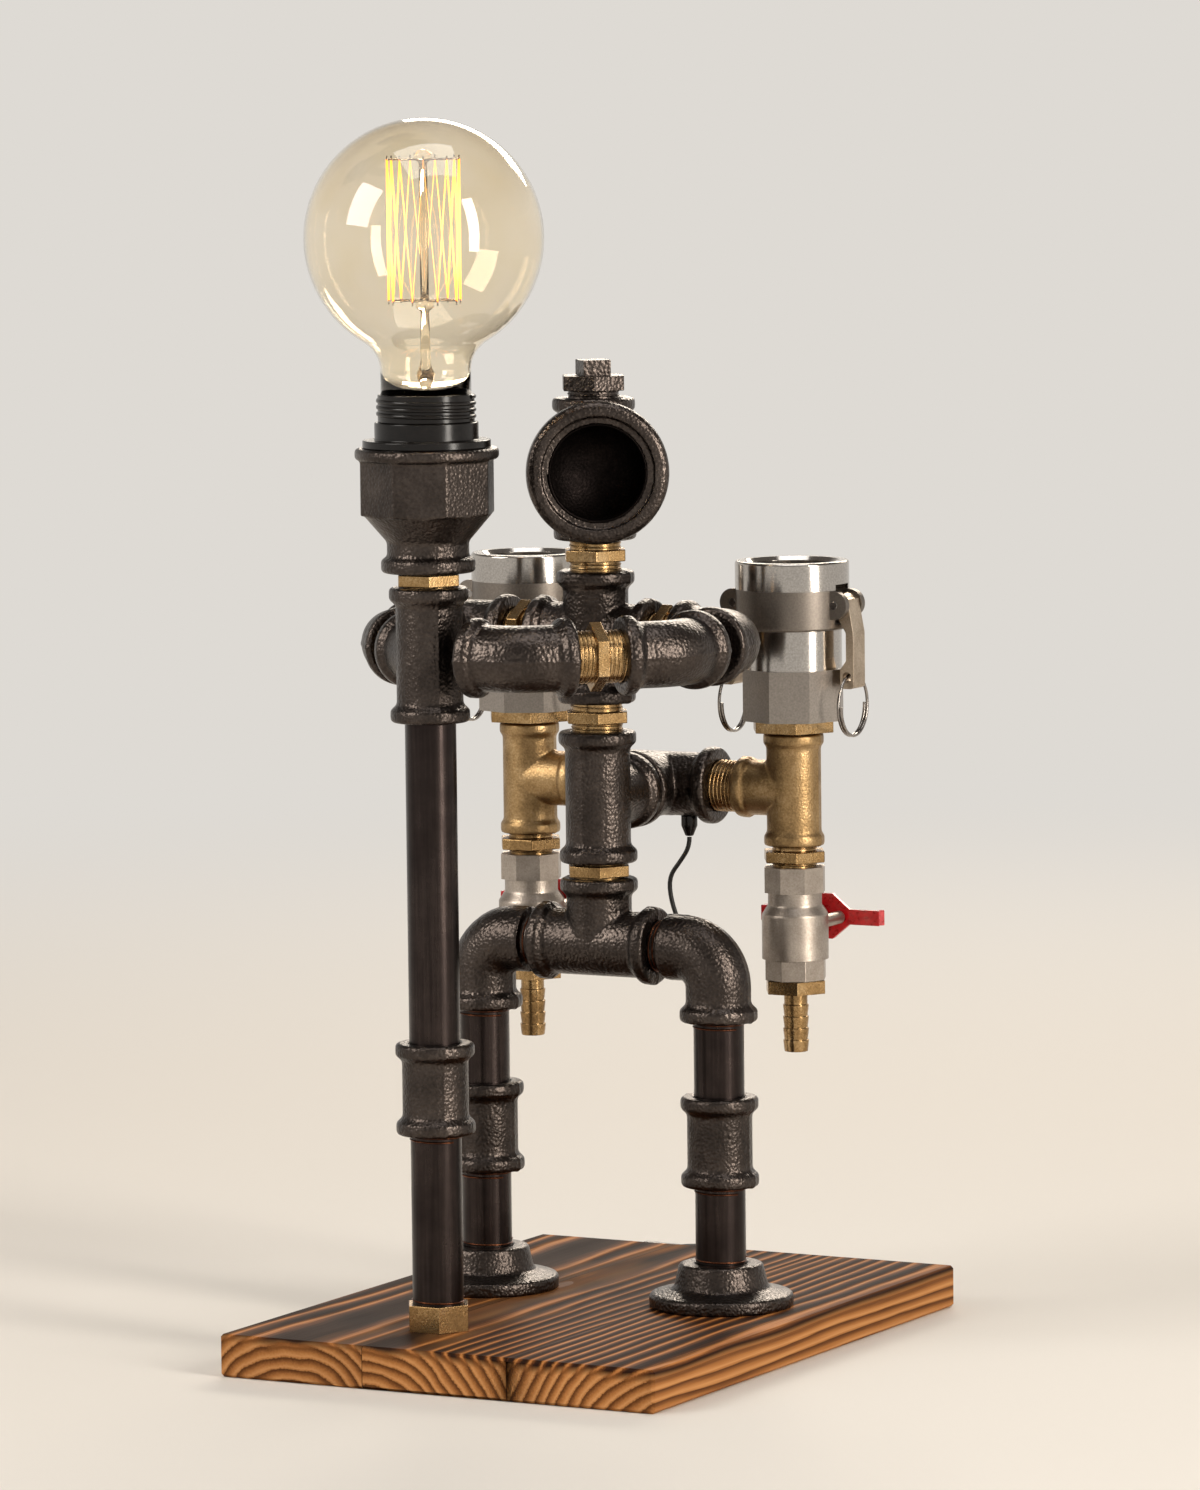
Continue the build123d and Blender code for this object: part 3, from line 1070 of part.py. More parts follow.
def build_back(parts, both):
    """Manifold on the robot's back that carries the two dispensers."""
    rear = Vector(0, REAR_Y, CHEST)
    wall_hole = rod(Vector(GLAND_X, REAR_Y, GLAND_LOW), Z, GLAND_LENGTH + IRON.body / 2,
                    GLAND_STUB + 2 * THREAD_GAP)
    seat = rod(Vector(GLAND_X, REAR_Y, GLAND_LOW), Z, GLAND_LENGTH, 2 * GLAND_BODY)
    parts["rear_tee"] = cast_fitting(rear, ACROSS + [(Y * -1, TEE_REACH)], IRON) - wall_hole - seat
    tees = []
    for side in both:
        outlets = [(Z, BRASS_REACH), (Z * -1, BRASS_REACH), (X * -side, BRASS_BRANCH)]
        tees.append(cast_fitting(Vector(side * DISPENSER_X, REAR_Y, CHEST), outlets, BRASS))
    parts["dispenser_tees"] = tees


def manifold_nipple(side):
    """Blind reducing nipple between the rear tee and a brass tee."""
    way = X * side
    face = Vector(side * TEE_REACH, REAR_Y, CHEST)
    wide = rod(face - way * IRON.engaged, way, IRON.engaged + MANIFOLD_GAP - SEAT_GAP, IRON.thread)
    return wide + rod(face, way, MANIFOLD_GAP + BRASS.engaged, BRASS.thread)


def build_dispensers(parts, both):
    """Couplers, cam arms, valves and spouts."""
    outs = {"inner": -1, "outer": 1}
    parts["coupler_bushes"] = [make_bush(side) for side in both]
    parts["coupler_gaskets"] = [make_gasket(side) for side in both]
    parts["cam_pins"] = [make_cam_pin(side, out) for side in both for out in outs.values()]
    low = Vector(0, REAR_Y, CHEST - BRASS_REACH)
    upright = [nipple(low + X * side * DISPENSER_X, Z * -1, VALVE_GAP, BRASS, x_dir=X) for side in both]
    parts["dispenser_nipples"] = upright + [manifold_nipple(side) for side in both]
    parts["valve_bodies"] = [make_valve_body(side) for side in both]
    parts["valve_inserts"] = [make_valve_insert(side) for side in both]
    parts["valve_seats"] = [seat for side in both for seat in make_valve_seats(side)]
    parts["valve_glands"] = [make_gland_nut(side) for side in both]
    parts["hose_barbs"] = [make_barb(side) for side in both]
    for name, side in SIDES.items():
        parts[f"{name}_coupler_body"] = make_coupler(side)
        for place, out in outs.items():
            parts[f"{name}_{place}_cam_arm"] = make_cam_arm(side, side * out)
            parts[f"{name}_{place}_pull_ring"] = make_pull_ring(side, side * out)
        parts[f"{name}_valve_ball"] = make_valve_ball(side)
        parts[f"{name}_valve_stem"] = [make_valve_stem(side), make_lever_nut(side)]
        parts[f"{name}_valve_lever"] = make_lever(side)


def build_wiring(parts):
    """Lamp lead, cord, coil and plug."""
    parts["lamp_lead"] = make_lead()
    parts["cord_gland"] = make_gland()
    parts["power_cord"] = make_cord()
    edges = coil_path()
    path = Wire(edges)
    coil = sweep(Plane(origin=path @ 0, z_dir=path % 0) * Circle(CORD_DIAMETER / 2), path)
    print("coil length", round(path.length, 1), "least gap between turns", round(self_gap(), 2),
          "volume over section times length",
          round(coil.volume / (path.length * math.pi * CORD_DIAMETER ** 2 / 4), 4))
    parts["cord_coil"] = coil
    parts["cord_tie"] = make_tie()
    parts["plug"] = make_plug(path @ 1, path % 1)


def export_parts():
    """One STEP file for each node."""
    os.makedirs("parts", exist_ok=True)
    for name, solids in build_parts().items():
        group = solids if isinstance(solids, list) else [solids]
        pieces = [piece for solid in group for piece in solid.solids()]
        export_step(pieces[0] if len(pieces) == 1 else Compound(children=pieces), f"parts/{name}.step")


export_parts()
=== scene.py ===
"""Looks of the spirits dispenser lamp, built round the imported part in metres.

The robot's castings get their skin, seams and blends here, its screwed joints their threads, and the
lamp its glass and glowing wire. Every piece rides on the body of the solid that it stands for.
"""

import json
import logging
import math
from collections.abc import Iterable, Sequence
from dataclasses import dataclass
from enum import Enum

import bmesh
import bpy
from mathutils import Matrix, Quaternion, Vector

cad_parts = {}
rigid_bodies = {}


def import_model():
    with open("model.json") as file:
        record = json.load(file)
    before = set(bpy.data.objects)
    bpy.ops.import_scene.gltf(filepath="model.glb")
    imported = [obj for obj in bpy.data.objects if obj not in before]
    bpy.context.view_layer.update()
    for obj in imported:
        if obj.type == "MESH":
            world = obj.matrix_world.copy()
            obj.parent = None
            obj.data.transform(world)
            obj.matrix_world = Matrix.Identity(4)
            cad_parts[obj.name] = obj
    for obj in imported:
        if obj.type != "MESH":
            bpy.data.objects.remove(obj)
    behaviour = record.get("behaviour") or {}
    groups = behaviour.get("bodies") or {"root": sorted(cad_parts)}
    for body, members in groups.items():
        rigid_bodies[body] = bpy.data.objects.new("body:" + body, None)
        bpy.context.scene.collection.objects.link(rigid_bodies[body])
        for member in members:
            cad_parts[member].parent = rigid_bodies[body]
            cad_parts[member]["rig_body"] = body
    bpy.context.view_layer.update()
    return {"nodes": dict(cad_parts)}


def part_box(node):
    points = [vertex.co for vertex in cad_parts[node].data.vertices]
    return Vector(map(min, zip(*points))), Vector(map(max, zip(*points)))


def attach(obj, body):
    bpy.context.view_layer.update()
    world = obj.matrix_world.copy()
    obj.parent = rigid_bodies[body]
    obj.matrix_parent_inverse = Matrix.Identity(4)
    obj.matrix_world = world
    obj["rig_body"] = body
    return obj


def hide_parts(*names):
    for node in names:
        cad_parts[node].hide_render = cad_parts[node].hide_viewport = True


LOG = logging.getLogger("spirits_dispenser_lamp")
MM = 0.001
X, Y, Z = Vector((1, 0, 0)), Vector((0, 1, 0)), Vector((0, 0, 1))

# Corners closer than this are one corner, and slivers thinner than this go
WELD = 0.004 * MM
SLIVER = 0.002 * MM
TURNED_WELD = 0.001 * MM
# A turned ring with a smaller radius is a point
POINT_RADIUS = 1e-7
# Steps between a smooth cord's points, and in one turn of wound wire
CURVE_STEPS = 4
TURN_STEPS = 40

# A mix node's sockets by number, because its floats and colours share their names
FACTOR, FLOAT_A, FLOAT_B, COLOUR_A, COLOUR_B = 0, 2, 3, 6, 7
FLOAT_MIX, COLOUR_MIX = 0, 2

Stops = Sequence[tuple[float, str]]
Inputs = dict[str | int, object]
Seam = tuple[Vector, Vector]

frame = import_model()


class Skin(Enum):
    """How a metal surface was made. The value stretches its grain along X, Y and Z."""

    SAND_CAST = (1.0, 1.0, 1.0)
    DRAWN = (1.0, 1.0, 0.03)


class Line(Enum):
    """How a wire goes from point to point."""

    STRAIGHT = "POLY"
    SMOOTH = "NURBS"


def linear(hex_colour: str) -> tuple[float, float, float, float]:
    """Turns an sRGB hex colour into linear values.

    Args:
        hex_colour: six hex digits after a hash.

    Returns:
        Red, green, blue and full alpha.
    """
    parts = [int(hex_colour[start:start + 2], 16) / 255 for start in (1, 3, 5)]
    red, green, blue = (part / 12.92 if part <= 0.04045 else ((part + 0.055) / 1.055) ** 2.4
                        for part in parts)
    return red, green, blue, 1.0


def scale_of(size_mm: float) -> float:
    """Pattern scale that gives a pattern's feature its size in millimetres."""
    return 1 / (size_mm * MM)


def add(tree: bpy.types.NodeTree, kind: str, inputs: Inputs | None = None, stops: Stops = (),
        **settings: object) -> bpy.types.Node:
    """Adds a node with its settings, values and links.

    Args:
        tree: the node tree that gets it.
        kind: the node's type name.
        inputs: a value or an output socket for each named or numbered input.
        stops: place and hex colour of each stop, from low to high, on a node with a colour ramp.
        settings: attributes of the node.

    Returns:
        The new node.
    """
    node = tree.nodes.new(kind)
    for name, value in settings.items():
        setattr(node, name, value)
    for name, value in (inputs or {}).items():
        if isinstance(value, bpy.types.NodeSocket):
            tree.links.new(value, node.inputs[name])
        else:
            node.inputs[name].default_value = value
    while stops and len(node.color_ramp.elements) < len(stops):
        node.color_ramp.elements.new(1.0)
    for index, (position, colour) in enumerate(stops):
        node.color_ramp.elements[index].position = position
        node.color_ramp.elements[index].color = linear(colour)
    return node


def cleared_tree(owner: bpy.types.Material | bpy.types.World) -> bpy.types.NodeTree:
    """Turns on the nodes of a material or world and empties its tree.

    Args:
        owner: the material or world.

    Returns:
        Its empty tree.
    """
    owner.use_nodes = True
    owner.node_tree.nodes.clear()
    return owner.node_tree


@dataclass(frozen=True)
class Finish:
    """A surface finish and the record's slot that it belongs to."""

    name: str
    slot: str

    def material(self) -> bpy.types.Material:
        """The finish's material, made once.

        Returns:
            A material with one principled shader.
        """
        found = bpy.data.materials.get(self.name)
        if found:
            return found
        material = bpy.data.materials.new(self.name)
        tree = cleared_tree(material)
        place = add(tree, "ShaderNodeTexCoord").outputs["Object"]
        shader = add(tree, "ShaderNodeBsdfPrincipled", self.surface(tree, place))
        add(tree, "ShaderNodeOutputMaterial", {"Surface": shader.outputs["BSDF"]})
        return material

    def surface(self, tree: bpy.types.NodeTree, place: bpy.types.NodeSocket) -> Inputs:
        """Lays the finish's patterns.

        Args:
            tree: the material's tree.
            place: the point on the piece, in metres.

        Returns:
            Values and links for the shader's inputs.
        """
        raise NotImplementedError


@dataclass(frozen=True)
class Metal(Finish):
    """Metal with a grain from the way it was made, and a patina that varies slowly.

    The grain is drawn coarser than real moulding sand and draw lines, so that it shows.
    """

    dark: str
    middle: str
    light: str
    skin: Skin
    grain_mm: float
    relief_mm: float
    smooth: float
    rough: float
    patina_mm: float = 14.0
    speckle: float = 0.35
    least: float = 0.34
    most: float = 0.66

    def surface(self, tree: bpy.types.NodeTree, place: bpy.types.NodeSocket) -> Inputs:
        """Patina in the colour and the roughness, grain in the bump.

        Args:
            tree: the material's tree.
            place: the point on the piece, in metres.

        Returns:
            Values and links for the shader's inputs.
        """
        along = add(tree, "ShaderNodeMapping", {
            "Vector": place, "Scale": self.skin.value}).outputs["Vector"]
        grain = add(tree, "ShaderNodeTexNoise", {
            "Vector": along, "Scale": scale_of(self.grain_mm), "Detail": 2.0})
        patina = add(tree, "ShaderNodeTexNoise", {
            "Vector": place, "Scale": scale_of(self.patina_mm), "Detail": 5.0, "Roughness": 0.62})
        mixed = add(tree, "ShaderNodeMix", {
            FACTOR: self.speckle, FLOAT_A: patina.outputs["Fac"], FLOAT_B: grain.outputs["Fac"]})
        level = add(tree, "ShaderNodeMapRange", {
            "Value": mixed.outputs[FLOAT_MIX], "From Min": self.least,
            "From Max": self.most}).outputs["Result"]
        colour = add(tree, "ShaderNodeValToRGB", {"Fac": level},
                     [(0.0, self.dark), (0.5, self.middle), (1.0, self.light)])
        rough = add(tree, "ShaderNodeMapRange", {
            "Value": level, "To Min": self.rough, "To Max": self.smooth})
        pebbles = add(tree, "ShaderNodeTexVoronoi", {
            "Vector": along, "Scale": scale_of(self.grain_mm), "Smoothness": 0.6}, feature="SMOOTH_F1")
        bump = add(tree, "ShaderNodeBump", {
            "Height": pebbles.outputs["Distance"], "Distance": self.relief_mm * MM}, invert=True)
        return {"Base Color": colour.outputs["Color"], "Roughness": rough.outputs["Result"],
                "Normal": bump.outputs["Normal"], "Metallic": 1.0}


# Malleable iron from a sand mould, blacked and oiled: pebbled, with a soft warm gloss
CAST_IRON = Metal("blacked_malleable_iron", "cast_iron", "#35302d", "#453e3a", "#564e49",
                  Skin.SAND_CAST, grain_mm=1.3, relief_mm=0.28, smooth=0.3, rough=0.38, patina_mm=20.0)
# Painted shade for the inside of the head's wide mouth: the same iron, matt and near black
PAINTED_SHADE_IRON = Metal("painted_shade_iron", "cast_iron", "#0d0b0a", "#171312", "#221d1b",
                    Skin.SAND_CAST, grain_mm=1.0, relief_mm=0.1, smooth=0.4, rough=0.6)
# Welded steel pipe with its mill scale: even, satin, faint draw lines
STEEL_PIPE = Metal("mill_scale_steel_pipe", "dark_steel_pipe", "#272120", "#332c2a", "#433a37",
                   Skin.DRAWN, grain_mm=1.2, relief_mm=0.02, smooth=0.24, rough=0.34, patina_mm=30.0)
# Threads that the die left bare: darker, with a coppery tint of thread paste
CUT_THREAD = Metal("cut_steel_thread", "dark_steel_pipe", "#2a1a14", "#5a3524", "#8a5a40",
                   Skin.SAND_CAST, grain_mm=0.8, relief_mm=0.05, smooth=0.3, rough=0.45)
# Brass turned from bar: yellow, bright, a little tarnish
TURNED_BRASS = Metal("turned_brass", "brass", "#735a3a", "#9f8056", "#c6a87d",
                     Skin.SAND_CAST, grain_mm=0.9, relief_mm=0.03, smooth=0.2, rough=0.34)
# Brass from a sand mould: matt and grainy
CAST_BRASS = Metal("sand_cast_brass", "brass", "#796141", "#9b7f58", "#b89b72",
                   Skin.SAND_CAST, grain_mm=0.9, relief_mm=0.1, smooth=0.34, rough=0.5)
# Investment-cast stainless steel of the cam arms: satin, with a bronze tint
ARM_STAINLESS = Metal("tinted_cast_stainless", "stainless_steel", "#9a8976", "#b6a48f", "#cdbca6",
                      Skin.SAND_CAST, grain_mm=0.7, relief_mm=0.05, smooth=0.3, rough=0.42)
# Bright spring steel and screws: clean, with sharp highlights
BRIGHT_STEEL = Metal("bright_spring_steel", "bright_steel", "#7d7772", "#97918c", "#b3aea8",
                     Skin.DRAWN, grain_mm=0.6, relief_mm=0.01, smooth=0.14, rough=0.24)
# Nickel plate over a cast valve: warm grey, satin
NICKEL = Metal("satin_nickel_plate", "nickel_plate", "#8f857b", "#a69b90", "#bbb0a5",
               Skin.SAND_CAST, grain_mm=0.8, relief_mm=0.04, smooth=0.34, rough=0.46)


@dataclass(frozen=True)
class BandedSteel(Finish):
    """Coupler steel: turned bright above and below a blasted belt, satin on the flats of its base."""

    bright: str
    dull: str
    base: str
    belt_low: float
    belt_high: float
    neck_low: float
    line_mm: float = 0.7
    line_depth_mm: float = 0.006
    line_stretch: float = 0.02
    pit_mm: float = 0.8
    pit_depth_mm: float = 0.04
    pit_shade: tuple[float, float] = (0.82, 1.08)
    bright_rough: float = 0.16
    dull_rough: float = 0.42

    def surface(self, tree: bpy.types.NodeTree, place: bpy.types.NodeSocket) -> Inputs:
        """Colour and roughness by height, with turning lines on the bright bands.

        Args:
            tree: the material's tree.
            place: the point on the piece, in metres.

        Returns:
            Values and links for the shader's inputs.
        """
        height = add(tree, "ShaderNodeSeparateXYZ", {"Vector": place}).outputs["Z"]
        above = add(tree, "ShaderNodeMath", {0: height, 1: self.belt_low}, operation="GREATER_THAN")
        below = add(tree, "ShaderNodeMath", {0: height, 1: self.belt_high}, operation="LESS_THAN")
        belt = add(tree, "ShaderNodeMath", {0: above.outputs[0], 1: below.outputs[0]},
                   operation="MULTIPLY").outputs[0]
        base = add(tree, "ShaderNodeMath", {0: height, 1: self.neck_low},
                   operation="LESS_THAN").outputs[0]
        matt = add(tree, "ShaderNodeMath", {0: belt, 1: base}, operation="MAXIMUM").outputs[0]
        lines = add(tree, "ShaderNodeMapping", {
            "Vector": place, "Scale": (self.line_stretch, self.line_stretch, 1)})
        grain = add(tree, "ShaderNodeTexNoise", {
            "Vector": lines.outputs["Vector"], "Scale": scale_of(self.line_mm), "Detail": 2.0})
        pits = add(tree, "ShaderNodeTexNoise", {
            "Vector": place, "Scale": scale_of(self.pit_mm), "Detail": 3.0}).outputs["Fac"]
        dull = add(tree, "ShaderNodeMix", {
            FACTOR: base, COLOUR_A: linear(self.dull), COLOUR_B: linear(self.base)}, data_type="RGBA")
        colour = add(tree, "ShaderNodeMix", {
            FACTOR: matt, COLOUR_A: linear(self.bright), COLOUR_B: dull.outputs[COLOUR_MIX]},
            data_type="RGBA")
        shade = add(tree, "ShaderNodeMapRange", {
            "Value": pits, "From Min": 0.3, "From Max": 0.7,
            "To Min": self.pit_shade[0], "To Max": self.pit_shade[1]})
        toned = add(tree, "ShaderNodeMix", {
            FACTOR: 1.0, COLOUR_A: colour.outputs[COLOUR_MIX], COLOUR_B: shade.outputs["Result"]},
            data_type="RGBA", blend_type="MULTIPLY")
        rough = add(tree, "ShaderNodeMapRange", {
            "Value": matt, "To Min": self.bright_rough, "To Max": self.dull_rough})
        relief = add(tree, "ShaderNodeMix", {FACTOR: matt, FLOAT_A: grain.outputs["Fac"], FLOAT_B: pits})
        depth = add(tree, "ShaderNodeMapRange", {
            "Value": matt, "To Min": self.line_depth_mm * MM, "To Max": self.pit_depth_mm * MM})
        bump = add(tree, "ShaderNodeBump", {
            "Height": relief.outputs[FLOAT_MIX], "Distance": depth.outputs["Result"]})
        return {"Base Color": toned.outputs[COLOUR_MIX], "Roughness": rough.outputs["Result"],
                "Normal": bump.outputs["Normal"], "Metallic": 1.0}


@dataclass(frozen=True)
class Coated(Finish):
    """Paint, bakelite or rubber: one colour with faint mottling and an even gloss."""

    dark: str
    light: str
    rough: float
    mottle_mm: float
    relief_mm: float
    coat: float = 0.0
    gloss: float = 0.5
    spread: tuple[float, float] = (0.8, 1.25)

    def surface(self, tree: bpy.types.NodeTree, place: bpy.types.NodeSocket) -> Inputs:
        """Mottled colour and a shallow orange peel.

        Args:
            tree: the material's tree.
            place: the point on the piece, in metres.

        Returns:
            Values and links for the shader's inputs.
        """
        mottle = add(tree, "ShaderNodeTexNoise", {
            "Vector": place, "Scale": scale_of(self.mottle_mm), "Detail": 4.0}).outputs["Fac"]
        colour = add(tree, "ShaderNodeValToRGB", {"Fac": mottle}, [(0.3, self.dark), (0.7, self.light)])
        rough = add(tree, "ShaderNodeMapRange", {
            "Value": mottle, "To Min": self.rough * self.spread[0],
            "To Max": self.rough * self.spread[1]})
        bump = add(tree, "ShaderNodeBump", {"Height": mottle, "Distance": self.relief_mm * MM})
        return {"Base Color": colour.outputs["Color"], "Roughness": rough.outputs["Result"],
                "Normal": bump.outputs["Normal"], "Coat Weight": self.coat,
                "Specular IOR Level": self.gloss}


# Stove enamel on the levers: deep red, glossy
RED_ENAMEL = Coated("red_stove_enamel", "red_paint", "#9c0d13", "#c8161d", 0.28, 2.0, 0.03, coat=0.5)
# Moulded bakelite: near black, polished
BAKELITE = Coated("moulded_bakelite", "black_bakelite", "#0c0a09", "#161210", 0.22, 3.0, 0.02, gloss=0.3)
# Extruded rubber cord: black, dull
RUBBER = Coated("extruded_black_rubber", "black_rubber", "#0f0e0d", "#1e1c1a", 0.5, 1.2, 0.02)
# Pressed seal plastic: waxy white
SEAL = Coated("waxy_seal_plastic", "white_seal", "#cfcdc6", "#e4e2dc", 0.4, 2.5, 0.01)


@dataclass(frozen=True)
class LampGlass(Finish):
    """Blown glass with an amber tint."""

    tint: str
    clear: str = "#fff9ee"
    rough: float = 0.015
    ior: float = 1.45
    flow_mm: float = 25.0
    wave_mm: float = 0.02

    def surface(self, tree: bpy.types.NodeTree, place: bpy.types.NodeSocket) -> Inputs:
        """Clear glass whose tint varies a little with the blow.

        Args:
            tree: the material's tree.
            place: the point on the piece, in metres.

        Returns:
            Values and links for the shader's inputs.
        """
        flow = add(tree, "ShaderNodeTexNoise", {
            "Vector": place, "Scale": scale_of(self.flow_mm), "Detail": 1.0}).outputs["Fac"]
        colour = add(tree, "ShaderNodeValToRGB", {"Fac": flow}, [(0.2, self.tint), (0.8, self.clear)])
        bump = add(tree, "ShaderNodeBump", {"Height": flow, "Distance": self.wave_mm * MM})
        return {"Base Color": colour.outputs["Color"], "Normal": bump.outputs["Normal"],
                "Roughness": self.rough, "IOR": self.ior, "Transmission Weight": 1.0}


# Globe blown from clear glass with an amber wash: thin, bright at its rim, faintly wavy
BULB_GLASS = LampGlass("amber_blown_glass", "clear_glass", "#fcf3e0")
# Drawn and pinched glass rod of the stem: clear, a shade deeper because it is thick
STEM_GLASS = LampGlass("clear_stem_glass", "clear_glass", "#fbeed8")


@dataclass(frozen=True)
class Glow(Finish):
    """Hot wire: orange at its ends, near white in its middle."""

    ends: str
    core: str
    low: float
    high: float
    strength: float
    core_low: float = 0.3
    core_high: float = 0.7

    def surface(self, tree: bpy.types.NodeTree, place: bpy.types.NodeSocket) -> Inputs:
        """Light that is hottest half-way up.

        Args:
            tree: the material's tree.
            place: the point on the piece, in metres.

        Returns:
            Values and links for the shader's inputs.
        """
        height = add(tree, "ShaderNodeSeparateXYZ", {"Vector": place}).outputs["Z"]
        share = add(tree, "ShaderNodeMapRange", {
            "Value": height, "From Min": self.low, "From Max": self.high}).outputs["Result"]
        colour = add(tree, "ShaderNodeValToRGB", {"Fac": share}, [
            (0.0, self.ends), (self.core_low, self.core), (self.core_high, self.core),
            (1.0, self.ends)]).outputs["Color"]
        return {"Base Color": colour, "Emission Color": colour, "Emission Strength": self.strength,
                "Roughness": 0.5}


@dataclass(frozen=True)
class CharredPine(Finish):
    """Softwood staves with annual rings, scorched and brushed on top, oiled at the sides.

    Rings and fibres are drawn coarser than most pine has them, so that they show.
    """

    width: float
    thickness: float
    staves: int
    oiled: Stops = ((0.0, "#5a371d"), (0.1, "#a97243"), (0.24, "#c08a56"), (0.55, "#a26b3c"),
                    (0.84, "#6e4424"), (1.0, "#52311a"))
    burnt: Stops = ((0.0, "#9a6434"), (0.12, "#4a2a15"), (0.28, "#22140c"), (0.55, "#2c190f"),
                    (0.76, "#63391b"), (0.92, "#b1743f"), (1.0, "#a0673a"))
    glue: str = "#2a160b"
    glue_share: float = 0.004
    ring_mm: float = 5.0
    ring_depth_mm: float = 0.5
    fibre_mm: float = 0.9
    fibre_share: float = 0.30
    fibre_stretch: float = 0.03
    wander_mm: float = 34.0
    wander_stretch: float = 0.18
    wander: float = 9 * MM
    pith_aside: float = 44 * MM
    pith_below: float = 24 * MM
    stave_lean: float = 2.4
    last_share: float = 0.001
    scorch: tuple[float, float] = (-2.2 * MM, 1.6 * MM)
    char_deep: float = 4.2 * MM
    char_full: float = 0.6 * MM
    early_rough: float = 0.72
    late_rough: float = 0.52
    gloss: float = 0.05

    def surface(self, tree: bpy.types.NodeTree, place: bpy.types.NodeSocket) -> Inputs:
        """Burnt colours near the top, oiled ones below, and a dark glue line between staves.

        Args:
            tree: the material's tree.
            place: the point on the piece, in metres.

        Returns:
            Values and links for the shader's inputs.
        """
        axes = add(tree, "ShaderNodeSeparateXYZ", {"Vector": place}).outputs
        drift = self.stretched(tree, place, self.wander_stretch, self.wander_mm, 2.0)
        share = add(tree, "ShaderNodeMapRange", {
            "Value": axes["X"], "From Min": -self.width / 2, "From Max": self.width / 2,
            "To Max": self.staves - self.last_share}).outputs["Result"]
        stave = add(tree, "ShaderNodeMath", {0: share}, operation="FLOOR").outputs[0]
        local = add(tree, "ShaderNodeMath", {0: share, 1: stave}, operation="SUBTRACT").outputs[0]
        ring = self.rings(tree, stave, local, axes["Z"], drift)
        fibre = self.stretched(tree, place, self.fibre_stretch, self.fibre_mm, 4.0)
        grainy = add(tree, "ShaderNodeMath", {
            0: fibre, 1: self.fibre_share, 2: ring}, operation="MULTIPLY_ADD").outputs[0]
        level = add(tree, "ShaderNodeMath", {
            0: grainy, 1: self.fibre_share / 2}, operation="SUBTRACT").outputs[0]
        scorch = add(tree, "ShaderNodeMapRange", {
            "Value": drift, "From Min": 0.3, "From Max": 0.72,
            "To Min": self.scorch[0], "To Max": self.scorch[1]}).outputs["Result"]
        height = add(tree, "ShaderNodeMath", {0: axes["Z"], 1: scorch}, operation="ADD").outputs[0]
        top = add(tree, "ShaderNodeMapRange", {
            "Value": height, "From Min": self.thickness - self.char_deep,
            "From Max": self.thickness - self.char_full}).outputs["Result"]
        oiled, burnt = (add(tree, "ShaderNodeValToRGB", {"Fac": level}, stops).outputs["Color"]
                        for stops in (self.oiled, self.burnt))
        colour = add(tree, "ShaderNodeMix", {FACTOR: top, COLOUR_A: oiled, COLOUR_B: burnt},
                     data_type="RGBA").outputs[COLOUR_MIX]
        edge = add(tree, "ShaderNodeMath", {0: local, 1: self.glue_share}, operation="LESS_THAN")
        inside = add(tree, "ShaderNodeMath", {0: stave, 1: 0.5}, operation="GREATER_THAN")
        joint = add(tree, "ShaderNodeMath", {0: edge.outputs[0], 1: inside.outputs[0]},
                    operation="MULTIPLY").outputs[0]
        lined = add(tree, "ShaderNodeMix", {
            FACTOR: joint, COLOUR_A: colour, COLOUR_B: linear(self.glue)}, data_type="RGBA")
        rough = add(tree, "ShaderNodeMapRange", {
            "Value": level, "To Min": self.early_rough, "To Max": self.late_rough})
        bump = add(tree, "ShaderNodeBump", {"Height": level, "Distance": self.ring_depth_mm * MM})
        return {"Base Color": lined.outputs[COLOUR_MIX], "Roughness": rough.outputs["Result"],
                "Normal": bump.outputs["Normal"], "Specular IOR Level": self.gloss}

    def stretched(self, tree: bpy.types.NodeTree, place: bpy.types.NodeSocket, stretch: float,
                  size_mm: float, detail: float) -> bpy.types.NodeSocket:
        """Noise drawn out along the staves.

        Args:
            tree: the material's tree.
            place: the point on the board.
            stretch: the pattern's scale along the staves, against that across them.
            size_mm: the pattern's size across the staves.
            detail: how many finer layers it has.

        Returns:
            The noise, from 0 to 1.
        """
        along = add(tree, "ShaderNodeMapping", {"Vector": place, "Scale": (1, stretch, 1)})
        return add(tree, "ShaderNodeTexNoise", {
            "Vector": along.outputs["Vector"], "Scale": scale_of(size_mm),
            "Detail": detail}).outputs["Fac"]

